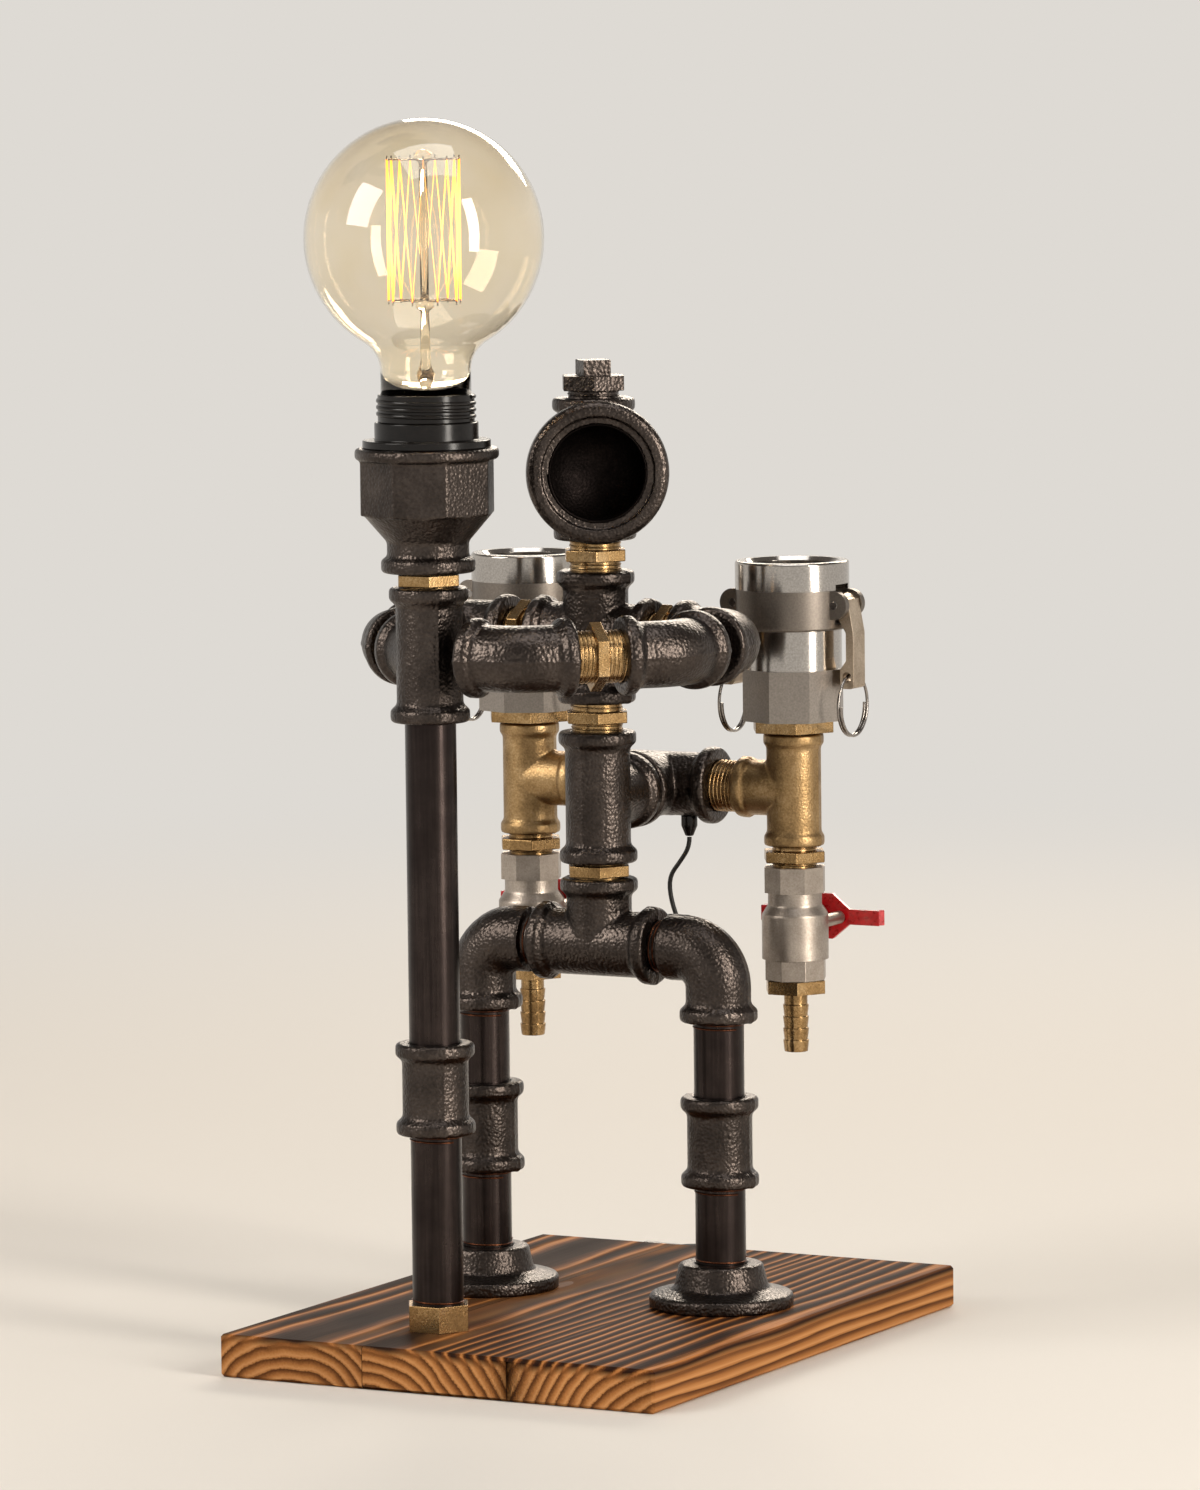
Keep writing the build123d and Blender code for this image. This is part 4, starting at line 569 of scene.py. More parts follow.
    def rings(self, tree: bpy.types.NodeTree, stave: bpy.types.NodeSocket, local: bpy.types.NodeSocket,
              height: bpy.types.NodeSocket, drift: bpy.types.NodeSocket) -> bpy.types.NodeSocket:
        """Rings round a pith under each stave: stripes on top, arcs at the ends.

        Args:
            tree: the material's tree.
            stave: the stave's number.
            local: share of the way across the stave.
            height: height over the board's underside.
            drift: slow noise that makes the rings wander.

        Returns:
            Share of the way through a year's ring.
        """
        stave_width = self.width / self.staves
        shift = add(tree, "ShaderNodeMath", {0: stave, 1: self.stave_lean}, operation="MULTIPLY")
        lean = add(tree, "ShaderNodeMath", {0: shift.outputs[0]}, operation="SINE")
        across = add(tree, "ShaderNodeMath", {
            0: local, 1: stave_width, 2: -stave_width / 2}, operation="MULTIPLY_ADD")
        off = add(tree, "ShaderNodeMath", {
            0: lean.outputs[0], 1: self.pith_aside, 2: across.outputs[0]}, operation="MULTIPLY_ADD")
        depth = add(tree, "ShaderNodeMath", {0: height, 1: self.pith_below}, operation="ADD")
        point = add(tree, "ShaderNodeCombineXYZ", {"X": off.outputs[0], "Y": depth.outputs[0]})
        radius = add(tree, "ShaderNodeVectorMath", {0: point.outputs["Vector"]}, operation="LENGTH")
        wavy = add(tree, "ShaderNodeMath", {
            0: drift, 1: self.wander, 2: radius.outputs["Value"]}, operation="MULTIPLY_ADD")
        years = add(tree, "ShaderNodeMath", {
            0: wavy.outputs[0], 1: scale_of(self.ring_mm)}, operation="MULTIPLY")
        return add(tree, "ShaderNodeMath", {0: years.outputs[0]}, operation="FRACT").outputs[0]


def baked(piece: bpy.types.Object) -> bpy.types.Object:
    """Turns a piece's modifiers into its plain mesh.

    Args:
        piece: an object in the scene.

    Returns:
        The same object, without modifiers.
    """
    bpy.context.view_layer.update()
    graph = bpy.context.evaluated_depsgraph_get()
    mesh = bpy.data.meshes.new_from_object(piece.evaluated_get(graph), depsgraph=graph)
    piece.modifiers.clear()
    piece.data = mesh
    return piece


def new_piece(name: str, data: bpy.types.ID | None = None) -> bpy.types.Object:
    """Puts a mesh, curve, lamp or camera into the scene at the origin.

    Args:
        name: the object's name.
        data: what it shows, or none for an empty mesh.

    Returns:
        The object.
    """
    piece = bpy.data.objects.new(name, data or bpy.data.meshes.new(name))
    bpy.context.scene.collection.objects.link(piece)
    return piece


def dress(piece: bpy.types.Object, finish: Finish, body: str, *nodes: str) -> bpy.types.Object:
    """Gives a finished piece its material, body and the solids that it stands for.

    Args:
        piece: the piece.
        finish: its finish.
        body: the body that it rides on.
        nodes: solids that it replaces.

    Returns:
        The piece.
    """
    piece.data.materials.clear()
    piece.data.materials.append(finish.material())
    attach(piece, body)
    if nodes:
        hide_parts(*nodes)
    LOG.info("%s: %s", piece.name, finish.name)
    return piece


def body_of(node: str) -> str:
    """Name of the body that a solid belongs to."""
    return frame["nodes"][node]["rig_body"]


def middle(node: str) -> Vector:
    """Middle of a solid's box."""
    low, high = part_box(node)
    return (low + high) / 2


def merged_copy(node: str) -> bmesh.types.BMesh:
    """Copy of a solid's mesh with its loose triangles joined.

    Args:
        node: the solid's name.

    Returns:
        The joined mesh, to be freed by the caller.
    """
    source = frame["nodes"][node].data
    mesh = bmesh.new()
    corners = [mesh.verts.new(vertex.co) for vertex in source.vertices]
    for polygon in source.polygons:
        mesh.faces.new([corners[index] for index in polygon.vertices])
    bmesh.ops.remove_doubles(mesh, verts=mesh.verts, dist=WELD)
    bmesh.ops.dissolve_degenerate(mesh, edges=mesh.edges, dist=SLIVER)
    return mesh


@dataclass
class Machined:
    """A solid whose edges are eased, as on turned, milled or moulded pieces."""

    node: str
    finish: Finish
    ease_mm: float
    flat_deg: float = 0.6
    sharp_deg: float = 28.0

    def build(self) -> bpy.types.Object:
        """Joins the flats and rounds the edges.

        Returns:
            The dressed piece.
        """
        shape = merged_copy(self.node)
        bmesh.ops.dissolve_limit(shape, angle_limit=math.radians(self.flat_deg), verts=shape.verts,
                                 edges=shape.edges)
        piece = new_piece(f"{self.node}_eased")
        shape.to_mesh(piece.data)
        shape.free()
        bevel = piece.modifiers.new("ease", "BEVEL")
        bevel.width = self.ease_mm * MM
        bevel.segments = 2
        bevel.limit_method = "ANGLE"
        bevel.angle_limit = math.radians(self.sharp_deg)
        bevel.harden_normals = True
        piece.data.shade_smooth()
        return dress(baked(piece), self.finish, body_of(self.node), self.node)


def ease_all(*solids: tuple[str, Finish, float]) -> None:
    """Eases several solids.

    Args:
        solids: name, finish and ease in millimetres of each.
    """
    for node, finish, ease_mm in solids:
        Machined(node, finish, ease_mm).build()


@dataclass
class Casting:
    """A cast fitting: joints between its arms blended, a seam where the mould halves met."""

    node: str
    seams: Sequence[Seam] = ()
    finish: Finish = CAST_IRON
    voxel_mm: float = 0.62
    seam_mm: float = 0.75
    shortest_mm: float = 0.05
    settle: int = 5

    def build(self) -> bpy.types.Object:
        """Joins the seams to the solid and blends it all.

        Returns:
            The dressed piece.
        """
        shape = merged_copy(self.node)
        for seam in self.seams:
            for start, end in self.cut(seam):
                self.rod(shape, start, end)
        piece = new_piece(f"{self.node}_cast")
        shape.to_mesh(piece.data)
        shape.free()
        blend = piece.modifiers.new("blend", "REMESH")
        blend.mode = "VOXEL"
        blend.voxel_size = self.voxel_mm * MM
        smooth = piece.modifiers.new("settle", "SMOOTH")
        smooth.factor = 0.5
        smooth.iterations = self.settle
        baked(piece).data.shade_smooth()
        return dress(piece, self.finish, body_of(self.node), self.node)

    def cut(self, seam: Seam) -> list[tuple[Vector, Vector]]:
        """Line where a seam's plane cuts the solid's skin.

        Args:
            seam: a point of the plane and its normal.

        Returns:
            Ends of each straight bit of the line.
        """
        shape = merged_copy(self.node)
        found = bmesh.ops.bisect_plane(shape, geom=shape.verts[:] + shape.edges[:] + shape.faces[:],
                                       plane_co=seam[0], plane_no=seam[1], clear_inner=True)
        edges = [tuple(vertex.co.copy() for vertex in item.verts) for item in found["geom_cut"]
                 if isinstance(item, bmesh.types.BMEdge)]
        shape.free()
        return edges

    def rod(self, shape: bmesh.types.BMesh, start: Vector, end: Vector) -> None:
        """Adds a square rod along one bit of a seam.

        Args:
            shape: the mesh that gets it.
            start: one end.
            end: the other end.
        """
        way = end - start
        if way.length < self.shortest_mm * MM:
            return
        turn = way.to_track_quat("Z", "Y")
        centre = (start + end) / 2
        half = self.seam_mm * MM / 2
        made = bmesh.ops.create_cube(shape, size=1.0)
        for vertex in made["verts"]:
            local = Vector((vertex.co.x * 2 * half, vertex.co.y * 2 * half,
                            vertex.co.z * (way.length + half)))
            vertex.co = centre + turn @ local


def wound_wire_tree() -> bpy.types.NodeTree:
    """Nodes that wind a wire round an axis: pipe threads, lamp threads and split rings.

    Returns:
        The tree, made once.
    """
    found = bpy.data.node_groups.get("wound wire")
    if found:
        return found
    tree = bpy.data.node_groups.new("wound wire", "GeometryNodeTree")
    kinds = {"Radius": "NodeSocketFloat", "Turns": "NodeSocketFloat", "Length": "NodeSocketFloat",
             "Wire": "NodeSocketFloat", "Sides": "NodeSocketInt", "Place": "NodeSocketVector",
             "Turn": "NodeSocketVector", "Material": "NodeSocketMaterial"}
    for name, kind in kinds.items():
        tree.interface.new_socket(name, in_out="INPUT", socket_type=kind)
    tree.interface.new_socket("Geometry", in_out="OUTPUT", socket_type="NodeSocketGeometry")
    sizes = add(tree, "NodeGroupInput").outputs
    path = add(tree, "GeometryNodeCurveSpiral", {
        "Resolution": TURN_STEPS, "Rotations": sizes["Turns"], "Start Radius": sizes["Radius"],
        "End Radius": sizes["Radius"], "Height": sizes["Length"]})
    section = add(tree, "GeometryNodeCurvePrimitiveCircle", {
        "Resolution": sizes["Sides"], "Radius": sizes["Wire"]})
    wire = add(tree, "GeometryNodeCurveToMesh", {
        "Curve": path.outputs["Curve"], "Profile Curve": section.outputs["Curve"], "Fill Caps": True})
    placed = add(tree, "GeometryNodeTransform", {
        "Geometry": wire.outputs["Mesh"], "Translation": sizes["Place"], "Rotation": sizes["Turn"]})
    plain = add(tree, "GeometryNodeRealizeInstances", {"Geometry": placed.outputs["Geometry"]})
    painted = add(tree, "GeometryNodeSetMaterial", {
        "Geometry": plain.outputs["Geometry"], "Material": sizes["Material"]})
    add(tree, "NodeGroupOutput", {"Geometry": painted.outputs["Geometry"]})
    return tree


@dataclass(frozen=True)
class WoundWire:
    """One run of thread or wire: where it starts, which way it goes, and its sizes in metres."""

    start: Vector
    way: Vector
    length: float
    radius: float
    pitch: float
    wire: float
    sides: int = 4

    def mesh(self, finish: Finish) -> bpy.types.Mesh:
        """Winds the wire.

        Args:
            finish: its finish.

        Returns:
            A plain mesh in its place.
        """
        piece = new_piece("wound_wire_blank")
        winder = piece.modifiers.new("wind", "NODES")
        winder.node_group = wound_wire_tree()
        turn = self.way.to_track_quat("Z", "Y").to_euler()
        values = {"Radius": self.radius, "Turns": self.length / self.pitch, "Length": self.length,
                  "Wire": self.wire, "Sides": self.sides, "Place": self.start, "Turn": Vector(turn),
                  "Material": finish.material()}
        for item in winder.node_group.interface.items_tree:
            if item.in_out == "INPUT":
                winder[item.identifier] = values[item.name]
        mesh = baked(piece).data
        bpy.data.objects.remove(piece)
        return mesh


def joined(name: str, meshes: Iterable[bpy.types.Mesh]) -> bpy.types.Object:
    """One piece from several meshes.

    Args:
        name: the piece's name.
        meshes: the meshes, in their places.

    Returns:
        The piece, smooth and with its faces outward.
    """
    shape = bmesh.new()
    for mesh in meshes:
        shape.from_mesh(mesh)
    bmesh.ops.recalc_face_normals(shape, faces=shape.faces)
    piece = new_piece(name)
    shape.to_mesh(piece.data)
    shape.free()
    piece.data.shade_smooth()
    return piece


def wind(name: str, runs: Sequence[WoundWire], finish: Finish, body: str = "root", *nodes: str) -> None:
    """Makes one dressed piece from runs of thread or wire.

    Args:
        name: the piece's name.
        runs: the runs.
        finish: their finish.
        body: the body that the piece rides on.
        nodes: solids that it replaces.
    """
    dress(joined(name, [run.mesh(finish) for run in runs]), finish, body, *nodes)


def turned(profile: Sequence[tuple[float, float]], axis: Vector, segments: int = 96) -> bpy.types.Mesh:
    """Turned shape round an upright axis.

    Args:
        profile: radius and height of each corner, in metres.
        axis: a point on the axis; its height is added.
        segments: steps round the axis.

    Returns:
        A closed mesh.
    """
    shape = bmesh.new()
    rings = []
    for radius, height in profile:
        steps = 1 if radius < POINT_RADIUS else segments
        rings.append([shape.verts.new((axis.x + radius * math.cos(2 * math.pi * step / segments),
                                       axis.y + radius * math.sin(2 * math.pi * step / segments),
                                       axis.z + height)) for step in range(steps)])
    for low, high in zip(rings, rings[1:]):
        for step in range(segments):
            corners = [low[step % len(low)], low[(step + 1) % len(low)],
                       high[(step + 1) % len(high)], high[step % len(high)]]
            distinct = list(dict.fromkeys(corners))
            if len(distinct) > 2:
                shape.faces.new(distinct)
    bmesh.ops.remove_doubles(shape, verts=shape.verts, dist=TURNED_WELD)
    bmesh.ops.recalc_face_normals(shape, faces=shape.faces)
    mesh = bpy.data.meshes.new("turned")
    shape.to_mesh(mesh)
    shape.free()
    mesh.shade_smooth()
    return mesh


def bent_rod(name: str, points: Sequence[Vector], radius: float, line: Line, rounds: int,
             closed: bool = False) -> bpy.types.Object:
    """Round wire or cord along points.

    Args:
        name: the object's name.
        points: the middle line.
        radius: the rod's radius.
        line: how it goes from point to point.
        rounds: fineness of its section.
        closed: whether the last point joins the first.

    Returns:
        A curve in the scene.
    """
    curve = bpy.data.curves.new(name, "CURVE")
    curve.dimensions = "3D"
    curve.bevel_depth = radius
    curve.bevel_resolution = rounds
    curve.resolution_u = CURVE_STEPS
    curve.use_fill_caps = True
    spline = curve.splines.new(line.value)
    spline.points.add(len(points) - 1)
    for point, place in zip(spline.points, points):
        point.co = (*place, 1.0)
    spline.order_u = 3
    spline.use_endpoint_u = True
    spline.use_cyclic_u = closed
    return new_piece(name, curve)


def wire_mesh(points: Sequence[Vector], radius: float, closed: bool = False) -> bpy.types.Mesh:
    """Stiff wire with sharp bends.

    Args:
        points: the wire's middle line.
        radius: the wire's radius.
        closed: whether the last point joins the first.

    Returns:
        A plain mesh.
    """
    rod = bent_rod("wire", points, radius, Line.STRAIGHT, 2, closed)
    bpy.context.view_layer.update()
    mesh = bpy.data.meshes.new_from_object(rod.evaluated_get(bpy.context.evaluated_depsgraph_get()))
    bpy.data.objects.remove(rod)
    return mesh


@dataclass(frozen=True)
class Places:
    """Levels and axes of the robot in metres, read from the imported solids, and its thread."""

    bead: float = 33.0 * MM
    tee_reach: float = 28.0 * MM
    slant_reach: float = 22.5 * MM
    thread: float = 21.3 * MM
    small_thread: float = 18.6 * MM
    thread_pitch: float = 1.8 * MM
    thread_ridge: float = 0.5 * MM
    thread_sunk: float = 0.05 * MM

    @property
    def spine(self) -> Vector:
        """Point of the robot's upright axis at the shoulders."""
        return middle("shoulder_cross")

    @property
    def hip(self) -> Vector:
        """Middle of the hip tee's run."""
        centre = middle("hip_tee")
        return Vector((centre.x, centre.y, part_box("hip_tee")[0].z + self.bead / 2))

    @property
    def chest(self) -> Vector:
        """Middle of the chest tee's run."""
        centre = middle("chest_tee")
        return Vector((centre.x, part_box("chest_tee")[0].y + self.bead / 2, centre.z))

    @property
    def rear(self) -> Vector:
        """Middle of the run of the tee on the robot's back."""
        return Vector((middle("rear_tee").x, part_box("rear_tee")[1].y - self.bead / 2, self.chest.z))

    @property
    def post(self) -> Vector:
        """Foot of the lamp post on the floor."""
        centre = middle("post_base_nut")
        return Vector((centre.x, centre.y, 0))

    def run(self, start: Vector, end: Vector, radius: float | None = None) -> WoundWire:
        """Thread between two faces.

        Args:
            start: middle of the first face.
            end: middle of the second face.
            radius: the thread's radius, or none for the iron fittings' thread.

        Returns:
            The thread, to be wound.
        """
        way = end - start
        return WoundWire(start, way.normalized(), way.length, (radius or self.thread / 2) - self.thread_sunk,
                         self.thread_pitch, self.thread_ridge)


PLACES = Places()


@dataclass
class Board:
    """Charred board of three staves."""

    node: str = "base_board"
    staves: int = 3
    ease_mm: float = 0.5

    def build(self) -> None:
        """Eases the edges and lays the grain."""
        low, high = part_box(self.node)
        # Pine scorched with a flame, brushed and oiled: dark hollows, pale ridges, warm cut sides
        pine = CharredPine("charred_oiled_pine", "charred_wood", high.x - low.x, high.z - low.z, self.staves)
        Machined(self.node, pine, self.ease_mm).build()


@dataclass
class Legs:
    """Flanges, pipes, couplings and the hip's street elbows."""

    shown_thread: float = 2.6 * MM
    street_thread: float = 5.0 * MM
    coupling_tall: float = 38.4 * MM

    def build(self) -> None:
        """Castings with their seams, pipes, and threads where they show."""
        leg_seam = (PLACES.hip, Y)
        post_seam = (PLACES.post, (X + Y).normalized())
        Casting("floor_flanges").build()
        Casting("pipe_couplings", [leg_seam, post_seam]).build()
        Casting("hip_elbows", [leg_seam]).build()
        Casting("hip_tee", [leg_seam]).build()
        ease_all(("leg_pipes", STEEL_PIPE, 0.2), ("post_pipes", STEEL_PIPE, 0.2),
                 ("post_base_nut", TURNED_BRASS, 0.7), ("board_fasteners", BRIGHT_STEEL, 0.3))
        self.threads()

    def threads(self) -> None:
        """Threads at the pipes' ends and the street elbows."""
        runs = []
        leg_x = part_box("leg_pipes")[1].x - PLACES.thread / 2
        coupling_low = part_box("pipe_couplings")[0].z
        flange_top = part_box("floor_flanges")[1].z
        elbow_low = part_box("hip_elbows")[0].z
        for side in (-1, 1):
            foot = Vector((side * leg_x, PLACES.hip.y, 0))
            runs += [self.stub(foot + Z * flange_top, 1), self.stub(foot + Z * coupling_low, -1),
                     self.stub(foot + Z * elbow_low, -1)]
            face = PLACES.hip + X * side * PLACES.tee_reach
            runs.append(PLACES.run(face, face + X * side * self.street_thread))
        runs.append(self.stub(PLACES.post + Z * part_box("post_base_nut")[1].z, 1))
        runs.append(self.stub(PLACES.post + Z * (coupling_low + self.post_lift()), -1))
        wind("pipe_end_threads", runs, CUT_THREAD)

    def post_lift(self) -> float:
        """How much higher the post's coupling stands than the legs' couplings."""
        low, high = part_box("pipe_couplings")
        return (high.z - low.z) - self.coupling_tall

    def stub(self, face: Vector, way: int) -> WoundWire:
        """Short thread that shows at a fitting's face, upward for 1 and downward for -1."""
        return PLACES.run(face, face + Z * way * self.shown_thread)


@dataclass
class Spine:
    """Chest, shoulders and head, with the hexagon nipples between them."""

    eye_turn: float = math.radians(31.0)
    eye_reach: float = 34.0 * MM
    eye_bore: float = 20.5 * MM
    eye_depth: float = 20.0 * MM
    eye_lip: float = 3.0 * MM
    eye_wall: float = 0.6 * MM
    eye_floor: float = 0.8 * MM
    eye_pitch: float = 2.3 * MM
    eye_ridge: float = 0.9 * MM
    bush_hexagon: float = 6.3 * MM

    def build(self) -> None:
        """Castings, nipples, threads and the plug in the crown."""
        Casting("chest_tee", [(PLACES.chest, X)]).build()
        Casting("shoulder_cross", [(PLACES.spine, Y)]).build()
        Casting("head_tee").build()
        self.eye()
        ease_all(("head_bush", CAST_IRON, 0.8), ("head_plug", CAST_IRON, 0.9),
                 ("upright_nipples", TURNED_BRASS, 0.6))
        stack = ["hip_tee", "chest_tee", "shoulder_cross", "head_tee"]
        axis = Vector((PLACES.spine.x, PLACES.spine.y, 0))
        runs = [PLACES.run(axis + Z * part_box(low)[1].z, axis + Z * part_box(high)[0].z)
                for low, high in zip(stack, stack[1:])]
        runs.append(PLACES.run(PLACES.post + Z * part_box("post_tee")[1].z,
                               PLACES.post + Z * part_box("lamp_reducer")[0].z))
        wind("upright_nipple_threads", runs, TURNED_BRASS)
        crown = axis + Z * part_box("head_tee")[1].z
        hexagon = axis + Z * (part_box("head_bush")[1].z - self.bush_hexagon)
        wind("head_bush_thread", [PLACES.run(crown, hexagon)], CAST_IRON)

    def eye(self) -> None:
        """Near-black cup with a pipe thread that lines the head's wide mouth: painted shade for the inside of
        its bore.
        """
        look = Vector((math.sin(self.eye_turn), -math.cos(self.eye_turn), 0))
        head = Vector((PLACES.spine.x, PLACES.spine.y, middle("head_tee").z))
        face = head + look * self.eye_reach
        inner = self.eye_bore - self.eye_wall
        cup = turned([(0.0, -self.eye_depth), (self.eye_bore, -self.eye_depth),
                      (self.eye_bore, -self.eye_lip), (inner, -self.eye_lip),
                      (inner, self.eye_floor - self.eye_depth), (0.0, self.eye_floor - self.eye_depth)],
                     Vector())
        cup.transform(look.to_track_quat("Z", "Y").to_matrix().to_4x4())
        cup.transform(Matrix.Translation(face))
        thread = WoundWire(face - look * self.eye_lip, -look, self.eye_depth - 2 * self.eye_lip,
                           self.eye_bore, self.eye_pitch, self.eye_ridge)
        # The cup and its thread are painted shade: near black where the bore lies in shadow
        dress(joined("head_mouth_painted_shade", [cup, thread.mesh(PAINTED_SHADE_IRON)]), PAINTED_SHADE_IRON, "root")


@dataclass
class Arms:
    """Both arms, bent elbows joined by brass nipples and plain close nipples."""

    arm_gap: float = 12.0 * MM
    left_close: float = 5.5 * MM
    right_close: float = 10.0 * MM
    left_slant: float = 10.5 * MM
    right_slant: float = 21.0 * MM

    def build(self) -> None:
        """Elbows with their seams, and the threads that show between them."""
        flat = (PLACES.spine, Z)
        Casting("shoulder_elbows", [flat]).build()
        Casting("forearm_elbows", [flat]).build()
        ease_all(("arm_nipples", TURNED_BRASS, 0.6), ("close_nipples", STEEL_PIPE, 0.2))
        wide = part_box("shoulder_elbows")[1].x - PLACES.bead / 2
        brass, iron = [], []
        for side, close, slant in ((-1, self.left_close, self.left_slant),
                                   (1, self.right_close, self.right_slant)):
            face = PLACES.spine + X * side * PLACES.tee_reach
            brass.append(PLACES.run(face, face + X * side * self.arm_gap))
            elbow = PLACES.spine + X * side * wide - Y * PLACES.tee_reach
            iron.append(PLACES.run(elbow, elbow - Y * close))
            corner = elbow - Y * (close + PLACES.slant_reach)
            way = Vector((-side, -1, 0)).normalized()
            outlet = corner + way * PLACES.slant_reach
            brass.append(PLACES.run(outlet, outlet + way * slant))
        wind("arm_nipple_threads", brass, TURNED_BRASS)
        wind("close_nipple_threads", iron, STEEL_PIPE)


@dataclass
class LampPost:
    """Post tee, reducer and lampholder."""

    ridge: float = 0.95 * MM
    ridge_pitch: float = 2.7 * MM
    ridge_sunk: float = 0.2 * MM
    ridge_sides: int = 10

    def build(self) -> None:
        """Castings, the bakelite holder and its coarse thread."""
        Casting("post_tee", [(PLACES.post, (X + Y).normalized())]).build()
        Casting("lamp_reducer", settle=3).build()
        ease_all(("lampholder_body", BAKELITE, 0.5), ("lampholder_ring", BAKELITE, 0.3))
        low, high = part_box("lampholder_ring")
        start = PLACES.post + Z * (low.z + self.ridge)
        ridges = WoundWire(start, Z, high.z - low.z - 2 * self.ridge,
                           (high.x - low.x) / 2 - self.ridge_sunk, self.ridge_pitch, self.ridge,
                           self.ridge_sides)
        wind("lampholder_ridges", [ridges], BAKELITE)


@dataclass
class Bulb:
    """Globe bulb: glass with a soft neck, stem, support wires and the hot wire's cage."""

    wall: float = 0.8 * MM
    neck: float = 18.7 * MM
    fillet: float = 14.0 * MM
    steps: int = 40
    flare_wide: float = 10.0 * MM
    flare_tall: float = 14.0 * MM
    flare_steps: int = 12
    stem_rod: float = 2.2 * MM
    stem_tip: float = 2.6 * MM
    stem_segments: int = 48
    # Radius of a stem's button as a share of the rod's, and height from its cage ring
    button: tuple[tuple[float, float], ...] = (
        (0.8, -3.0 * MM), (1.7, -1.4 * MM), (1.7, 1.0 * MM), (0.8, 2.2 * MM))
    hairpins: int = 9
    hot_wire: float = 0.42 * MM
    support_wire: float = 0.35 * MM
    ring_inset: float = 0.5 * MM
    bend_inset: float = 1.5 * MM
    hook: float = 1.6 * MM
    spoke_bend: float = 0.6

    def build(self) -> None:
        """Makes every piece of the bulb on its own body."""
        low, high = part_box("bulb_glass")
        globe = (high.x - low.x) / 2
        centre = Vector((middle("bulb_glass").x, middle("bulb_glass").y, high.z - globe))
        outer = self.profile(globe, centre.z, low.z, 0.0)
        inner = self.profile(globe, centre.z, low.z, self.wall)
        axis = Vector((centre.x, centre.y, 0))
        shell = outer + inner[::-1] + outer[:1]
        dress(joined("bulb_globe", [turned(shell, axis)]), BULB_GLASS, "bulb", "bulb_glass")
        Machined("bulb_cap", NICKEL, 0.5).build()
        self.stem(axis, low.z)
        self.cage(centre)

    def profile(self, globe: float, centre: float, foot: float,
                thinner: float) -> list[tuple[float, float]]:
        """Outline of the globe and its neck.

        Args:
            globe: the globe's radius.
            centre: height of its centre.
            foot: height of the neck's foot.
            thinner: distance inside the outer skin.

        Returns:
            Radius and height of each point, from the foot to the crown.
        """
        drop = math.sqrt((globe + self.fillet) ** 2 - (self.neck + self.fillet) ** 2)
        bend = centre - drop
        lean = math.atan2(drop, self.neck + self.fillet)
        hollow = self.fillet + thinner
        skin = globe - thinner
        points = [(self.neck - thinner, foot)]
        for step in range(self.steps + 1):
            turn = lean * step / self.steps
            points.append((self.neck + self.fillet - hollow * math.cos(turn), bend + hollow * math.sin(turn)))
        for step in range(1, self.steps + 1):
            turn = -lean + (math.pi / 2 + lean) * step / self.steps
            points.append((max(skin * math.cos(turn), 0.0), centre + skin * math.sin(turn)))
        return points

    def stem(self, axis: Vector, foot: float) -> None:
        """Glass stem with its flare and two buttons.

        Args:
            axis: a point on the bulb's axis.
            foot: height of the stem's foot.
        """
        profile = [(0.0, foot)]
        for step in range(self.flare_steps + 1):
            share = step / self.flare_steps
            profile.append((self.flare_wide * (1 - share) ** 2 + self.stem_rod,
                            foot + self.flare_tall * share))
        rings = [corner.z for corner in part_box("bulb_filament")]
        for height in rings:
            profile += [(share * self.stem_rod, height + rise) for share, rise in self.button]
        profile.append((0.0, rings[-1] + self.stem_tip))
        stem = joined("bulb_glass_stem", [turned(profile, axis, self.stem_segments)])
        dress(stem, STEM_GLASS, "bulb", "bulb_stem")

    def cage(self, centre: Vector) -> None:
        """Hairpins of hot wire between two rings of hooks, and the wires that carry them.

        Args:
            centre: the globe's centre.
        """
        low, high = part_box("bulb_filament")
        ring = (high.x - low.x) / 2 - self.ring_inset
        # Tungsten at work: amber light, palest half-way up
        glow = Glow("glowing_tungsten", "hot_filament", "#ff8a1e", "#ffbe5c", low.z, high.z, 4.5)
        points = []
        for index in range(2 * self.hairpins):
            turn = math.pi * index / self.hairpins
            height = high.z - self.bend_inset if index % 2 else low.z + self.bend_inset
            points.append(Vector((centre.x + ring * math.cos(turn), centre.y + ring * math.sin(turn),
                                  height)))
        hot_wire = joined("bulb_hot_wire", [wire_mesh(points, self.hot_wire, closed=True)])
        dress(hot_wire, glow, "bulb", "bulb_filament")
        spokes = []
        for index, point in enumerate(points):
            hub = Vector((centre.x, centre.y, point.z))
            hook = point + Z * (self.hook if index % 2 else -self.hook)
            spokes.append(wire_mesh([hub, hub + (point - hub) * self.spoke_bend, point, hook],
                                    self.support_wire))
        dress(joined("bulb_support_wires", spokes), BRIGHT_STEEL, "bulb")


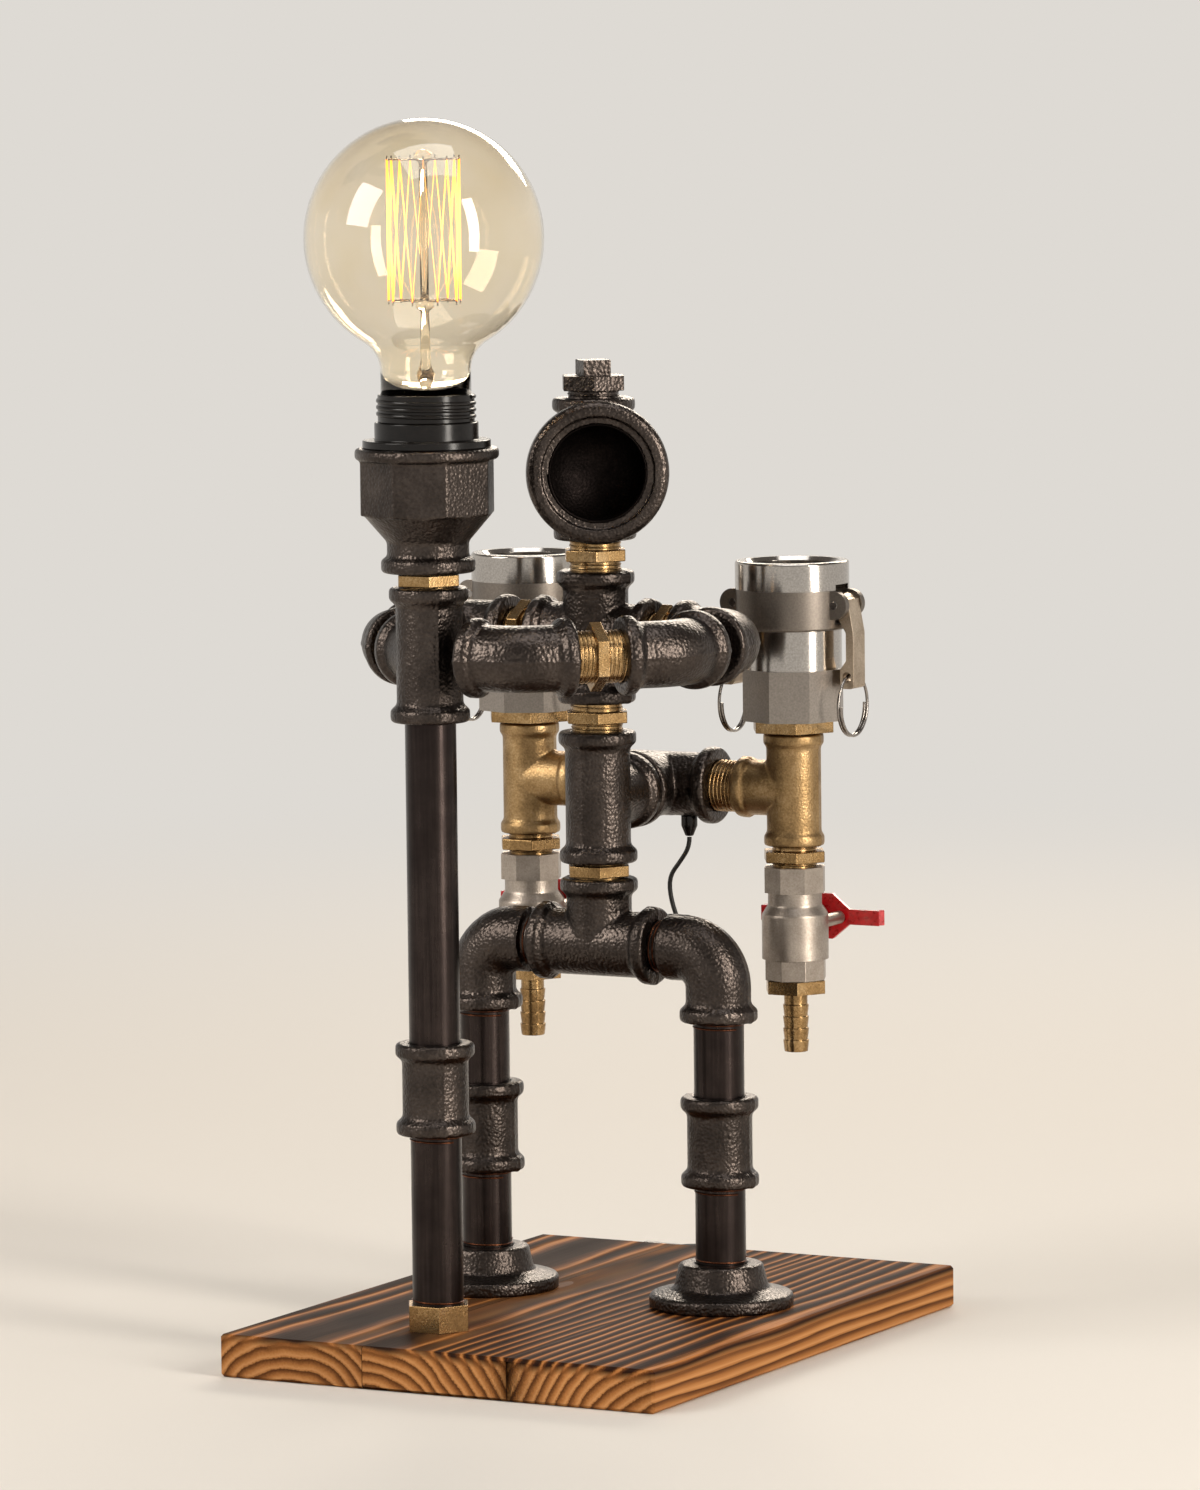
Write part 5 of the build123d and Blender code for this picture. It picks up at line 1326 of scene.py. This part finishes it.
@dataclass
class Dispensers:
    """Rear tee, brass tees, couplers with cam arms and rings, valves, levers and barbs."""

    ring_wire: float = 0.7 * MM
    ring_pitch: float = 1.35 * MM
    ring_turns: float = 1.5
    ring_sides: int = 10
    manifold_gap: float = 11.0 * MM
    # Drops from the coupler's rim to its belt's two edges and to the top of its base
    belt_low_drop: float = 29.0 * MM
    belt_high_drop: float = 12.0 * MM
    base_drop: float = 46.0 * MM

    def build(self) -> None:
        """Dresses both dispensers."""
        Casting("rear_tee", [(PLACES.rear, Z)]).build()
        Casting("dispenser_tees", [(PLACES.rear, Y)], finish=CAST_BRASS, seam_mm=0.6).build()
        ease_all(("dispenser_nipples", TURNED_BRASS, 0.6), ("coupler_bushes", TURNED_BRASS, 0.6),
                 ("hose_barbs", TURNED_BRASS, 0.25))
        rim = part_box("left_coupler_body")[1].z
        # Stainless steel, turned bright with a blasted belt and a satin base
        steel = BandedSteel("turned_and_blasted_stainless", "stainless_steel", "#b9b3ac", "#7d756d",
                            "#9a928a", rim - self.belt_low_drop, rim - self.belt_high_drop,
                            rim - self.base_drop)
        for side in ("left", "right"):
            ease_all((f"{side}_coupler_body", steel, 0.6), (f"{side}_valve_lever", RED_ENAMEL, 0.6),
                     (f"{side}_valve_stem", BRIGHT_STEEL, 0.3), (f"{side}_valve_ball", BRIGHT_STEEL, 0.2))
            for place in ("inner", "outer"):
                Machined(f"{side}_{place}_cam_arm", ARM_STAINLESS, 0.7).build()
                self.pull_ring(f"{side}_{place}_pull_ring")
        ease_all(("valve_bodies", NICKEL, 0.5), ("valve_inserts", NICKEL, 0.5),
                 ("valve_glands", NICKEL, 0.5), ("valve_seats", SEAL, 0.2),
                 ("coupler_gaskets", RUBBER, 0.5), ("cam_pins", BRIGHT_STEEL, 0.3))
        self.threads()

    def pull_ring(self, node: str) -> None:
        """Split ring of wound wire in place of a plain ring.

        Args:
            node: the ring's solid.
        """
        low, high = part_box(node)
        rise = self.ring_turns * self.ring_pitch
        radius = (high.z - low.z) / 2 - self.ring_wire
        wire = WoundWire(middle(node) - X * rise / 2, X, rise, radius, self.ring_pitch, self.ring_wire,
                         self.ring_sides)
        wind(f"{node}_split", [wire], BRIGHT_STEEL, body_of(node), node)

    def threads(self) -> None:
        """Threads at the manifold and over the valves."""
        runs = []
        tee_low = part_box("dispenser_tees")[0].z
        valve_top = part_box("valve_bodies")[1].z
        for side in (-1, 1):
            face = PLACES.rear + X * side * PLACES.tee_reach
            runs.append(PLACES.run(face, face + X * side * self.manifold_gap))
            axis = Vector((side * middle("right_coupler_body").x, PLACES.rear.y, 0))
            runs.append(PLACES.run(axis + Z * valve_top, axis + Z * tee_low, PLACES.small_thread / 2))
        wind("dispenser_threads", runs, TURNED_BRASS)


@dataclass
class Wiring:
    """Cord from the gland to the plug, with its unseen length coiled behind the board."""

    diameter: float = 2.0 * MM
    route_mm: tuple[tuple[float, float, float], ...] = (
        (13.6, 65, 209.2), (13.6, 65, 205), (9, 65.2, 198.5), (3.2, 65.6, 191.5), (3.6, 66.2, 181.5),
        (7.6, 67.4, 169.5), (13, 70.5, 154), (18, 75, 135), (21.5, 79.5, 113), (23.5, 83.5, 90),
        (24.5, 87, 67), (24, 90.5, 46), (22, 94.5, 31), (18, 99.5, 22), (12, 106.5, 19.3),
        (4, 115.5, 19.2), (-5, 125, 19.2), (-13.5, 133.5, 19.9), (-19.5, 140.5, 22),
        (-23.2, 147.5, 19.2), (-24, 153.5, 13), (-24, 158.5, 10.3))
    coil_mm: tuple[float, float] = (-39.6, 166.0)
    coil_radius_mm: float = 15.6
    coil_top_mm: float = 10.3
    pitch_mm: float = 2.75
    layers: int = 4
    layer_quarters: int = 15
    climb: int = 2
    tail_quarters: int = 3
    tail_out_mm: float = 3.4
    tail_rise_mm: float = 2.55
    steps: int = 6
    length: float = 1.37

    def build(self) -> None:
        """Lays the cord and dresses what is on it."""
        points = [Vector(place) * MM for place in self.route_mm]
        end = self.layers * self.layer_quarters - 1 + self.tail_quarters
        points += [self.coil_point(1 + step / self.steps, end)
                   for step in range((end - 1) * self.steps + 1)]
        cord = bent_rod("lamp_cord", points, self.diameter / 2, Line.SMOOTH, 3)
        dress(cord, RUBBER, "root", "power_cord", "cord_coil")
        plug = Machined("plug", BAKELITE, 0.5).build()
        tie = Machined("cord_tie", RUBBER, 0.2).build()
        gland = Machined("cord_gland", BAKELITE, 0.4).build()
        Machined("lamp_lead", RUBBER, 0.2).build()

    def coil_point(self, quarter: float, end: int) -> Vector:
        """Middle of the coiled cord after some quarter turns.

        Args:
            quarter: quarter turns from the coil's start.
            end: the coil's last quarter.

        Returns:
            The place in metres.
        """
        def share(low: float, high: float) -> float:
            """Part of the way from low to high, held at both ends."""
            return min(max((quarter - low) / (high - low), 0.0), 1.0)

        wound, dropped = 0.0, 0.0
        for layer in range(self.layers):
            low = layer * self.layer_quarters + 1
            high = low + self.layer_quarters - self.climb
            wound += (1 if layer % 2 == 0 else -1) * share(low, high) * (high - low)
            if layer:
                dropped += share(low - self.climb, low) * self.pitch_mm
        radius = self.coil_radius_mm - wound * self.pitch_mm / 4
        radius += self.tail_out_mm * share(end - self.tail_quarters, end - 1)
        height = self.coil_top_mm - dropped + self.tail_rise_mm * share(end - 2, end)
        turn = (quarter - 1) * math.pi / 2
        return Vector((self.coil_mm[0] + radius * math.cos(turn),
                       self.coil_mm[1] + radius * math.sin(turn), height)) * MM


@dataclass(frozen=True)
class SoftLamp:
    """A rectangular studio lamp: place and size in metres, power in watts."""

    name: str
    place: tuple[float, float, float]
    size: tuple[float, float]
    power: float
    colour: str

    def build(self, aim: Vector) -> None:
        """Hangs the lamp.

        Args:
            aim: the point that it looks at.
        """
        data = bpy.data.lights.new(self.name, "AREA")
        data.shape = "RECTANGLE"
        data.size, data.size_y = self.size
        data.energy = self.power
        data.color = linear(self.colour)[:3]
        lamp = new_piece(self.name, data)
        lamp.location = self.place
        lamp.rotation_euler = (aim - Vector(self.place)).to_track_quat("-Z", "Y").to_euler()


@dataclass
class Studio:
    """Pale floor, soft light and the camera at the photograph's view."""

    camera_mm: tuple[float, float, float] = (1606.1, -2975.8, 604.0)
    aim_mm: tuple[float, float, float] = (1.6, 7.3, 253.9)
    roll: float = math.radians(-0.66)
    lens: float = 194.7
    sensor: float = 36.0
    clip: tuple[float, float] = (0.05, 100.0)
    floor: str = "#d6d1ca"
    floor_half: float = 30.0
    floor_level: float = -0.2 * MM
    backdrop: str = "#dedad4"
    overhead: str = "#6f6a66"
    horizon: float = 0.16
    zenith: float = 0.55
    sky_strength: float = 0.45
    fade_near: float = 0.5
    fade_far: float = 2.2
    lamps: tuple[SoftLamp, ...] = (
        SoftLamp("key_softbox", (-1.5, -1.9, 1.7), (1.2, 1.6), 50.0, "#fffaf3"),
        SoftLamp("side_strip", (2.0, -0.5, 0.9), (0.4, 1.8), 44.0, "#fff8ee"),
        SoftLamp("back_strip", (-0.6, 2.2, 1.3), (1.6, 0.5), 32.0, "#fff3e2"),
        SoftLamp("top_softbox", (0.2, -0.2, 2.4), (1.4, 1.4), 18.0, "#ffffff"))

    def build(self) -> None:
        """Sets up everything that isn't part of the object."""
        bpy.context.scene.view_settings.view_transform = "Standard"
        self.make_floor()
        self.make_world()
        self.make_camera()
        for lamp in self.lamps:
            lamp.build(Vector(self.aim_mm) * MM)

    def make_floor(self) -> None:
        """Wide pale paper that keeps the object's shadow and fades into the backdrop."""
        mesh = bpy.data.meshes.new("studio_floor")
        corners = [(x * self.floor_half, y * self.floor_half, self.floor_level)
                   for x, y in ((-1, -1), (1, -1), (1, 1), (-1, 1))]
        mesh.from_pydata(corners, [], [(0, 1, 2, 3)])
        material = bpy.data.materials.new("matt_backdrop_paper")
        tree = cleared_tree(material)
        shader = add(tree, "ShaderNodeBsdfPrincipled", {
            "Base Color": linear(self.floor), "Roughness": 0.8})
        place = add(tree, "ShaderNodeTexCoord").outputs["Object"]
        away = add(tree, "ShaderNodeVectorMath", {0: place}, operation="LENGTH").outputs["Value"]
        fade = add(tree, "ShaderNodeMapRange", {
            "Value": away, "From Min": self.fade_near, "From Max": self.fade_far},
            interpolation_type="SMOOTHSTEP").outputs["Result"]
        seen = add(tree, "ShaderNodeMath", {0: fade, 1: self.straight_rays(tree)}, operation="MULTIPLY")
        paper = add(tree, "ShaderNodeEmission", {"Color": linear(self.backdrop), "Strength": 1.0})
        mixed = add(tree, "ShaderNodeMixShader", {
            0: seen.outputs[0], 1: shader.outputs["BSDF"], 2: paper.outputs["Emission"]})
        add(tree, "ShaderNodeOutputMaterial", {"Surface": mixed.outputs[0]})
        mesh.materials.append(material)
        new_piece("studio_floor", mesh)

    def straight_rays(self, tree: bpy.types.NodeTree) -> bpy.types.NodeSocket:
        """Marks what is seen straight, in a mirror or through glass.

        Args:
            tree: the tree that needs it.

        Returns:
            1 for such a ray and 0 for light that falls on the object.
        """
        light = add(tree, "ShaderNodeLightPath").outputs
        plain = add(tree, "ShaderNodeMath", {0: light["Is Camera Ray"], 1: light["Is Transmission Ray"]},
                    operation="MAXIMUM")
        return add(tree, "ShaderNodeMath", {0: plain.outputs[0], 1: light["Is Glossy Ray"]},
                   operation="MAXIMUM").outputs[0]

    def make_world(self) -> None:
        """Pale horizon, darker overhead, so that metal has something to reflect."""
        world = bpy.data.worlds.new("studio")
        bpy.context.scene.world = world
        tree = cleared_tree(world)
        way = add(tree, "ShaderNodeTexCoord").outputs["Generated"]
        height = add(tree, "ShaderNodeSeparateXYZ", {"Vector": way}).outputs["Z"]
        colour = add(tree, "ShaderNodeValToRGB", {"Fac": height}, [
            (0.0, self.backdrop), (self.horizon, self.backdrop),
            (self.zenith, self.overhead)]).outputs["Color"]
        sky, seen = (add(tree, "ShaderNodeBackground", {"Color": colour, "Strength": strength})
                     for strength in (self.sky_strength, 1.0))
        mixed = add(tree, "ShaderNodeMixShader", {
            0: self.straight_rays(tree), 1: sky.outputs[0], 2: seen.outputs[0]})
        add(tree, "ShaderNodeOutputWorld", {"Surface": mixed.outputs[0]})

    def make_camera(self) -> None:
        """Camera at the photograph's place."""
        data = bpy.data.cameras.new("photo_camera")
        data.lens, data.sensor_width = self.lens, self.sensor
        data.clip_start, data.clip_end = self.clip
        camera = new_piece("photo_camera", data)
        camera.location = Vector(self.camera_mm) * MM
        way = (Vector(self.aim_mm) - Vector(self.camera_mm)).normalized()
        camera.rotation_euler = (way.to_track_quat("-Z", "Y") @ Quaternion(Z, self.roll)).to_euler()
        bpy.context.scene.camera = camera


def main() -> None:
    """Builds the sub-assemblies in order, then the studio."""
    logging.basicConfig(level=logging.INFO, format="%(name)s: %(message)s")
    for part in (Board(), Legs(), Spine(), Arms(), LampPost(), Bulb(), Dispensers(), Wiring(), Studio()):
        part.build()


if __name__ == "__main__":
    main()
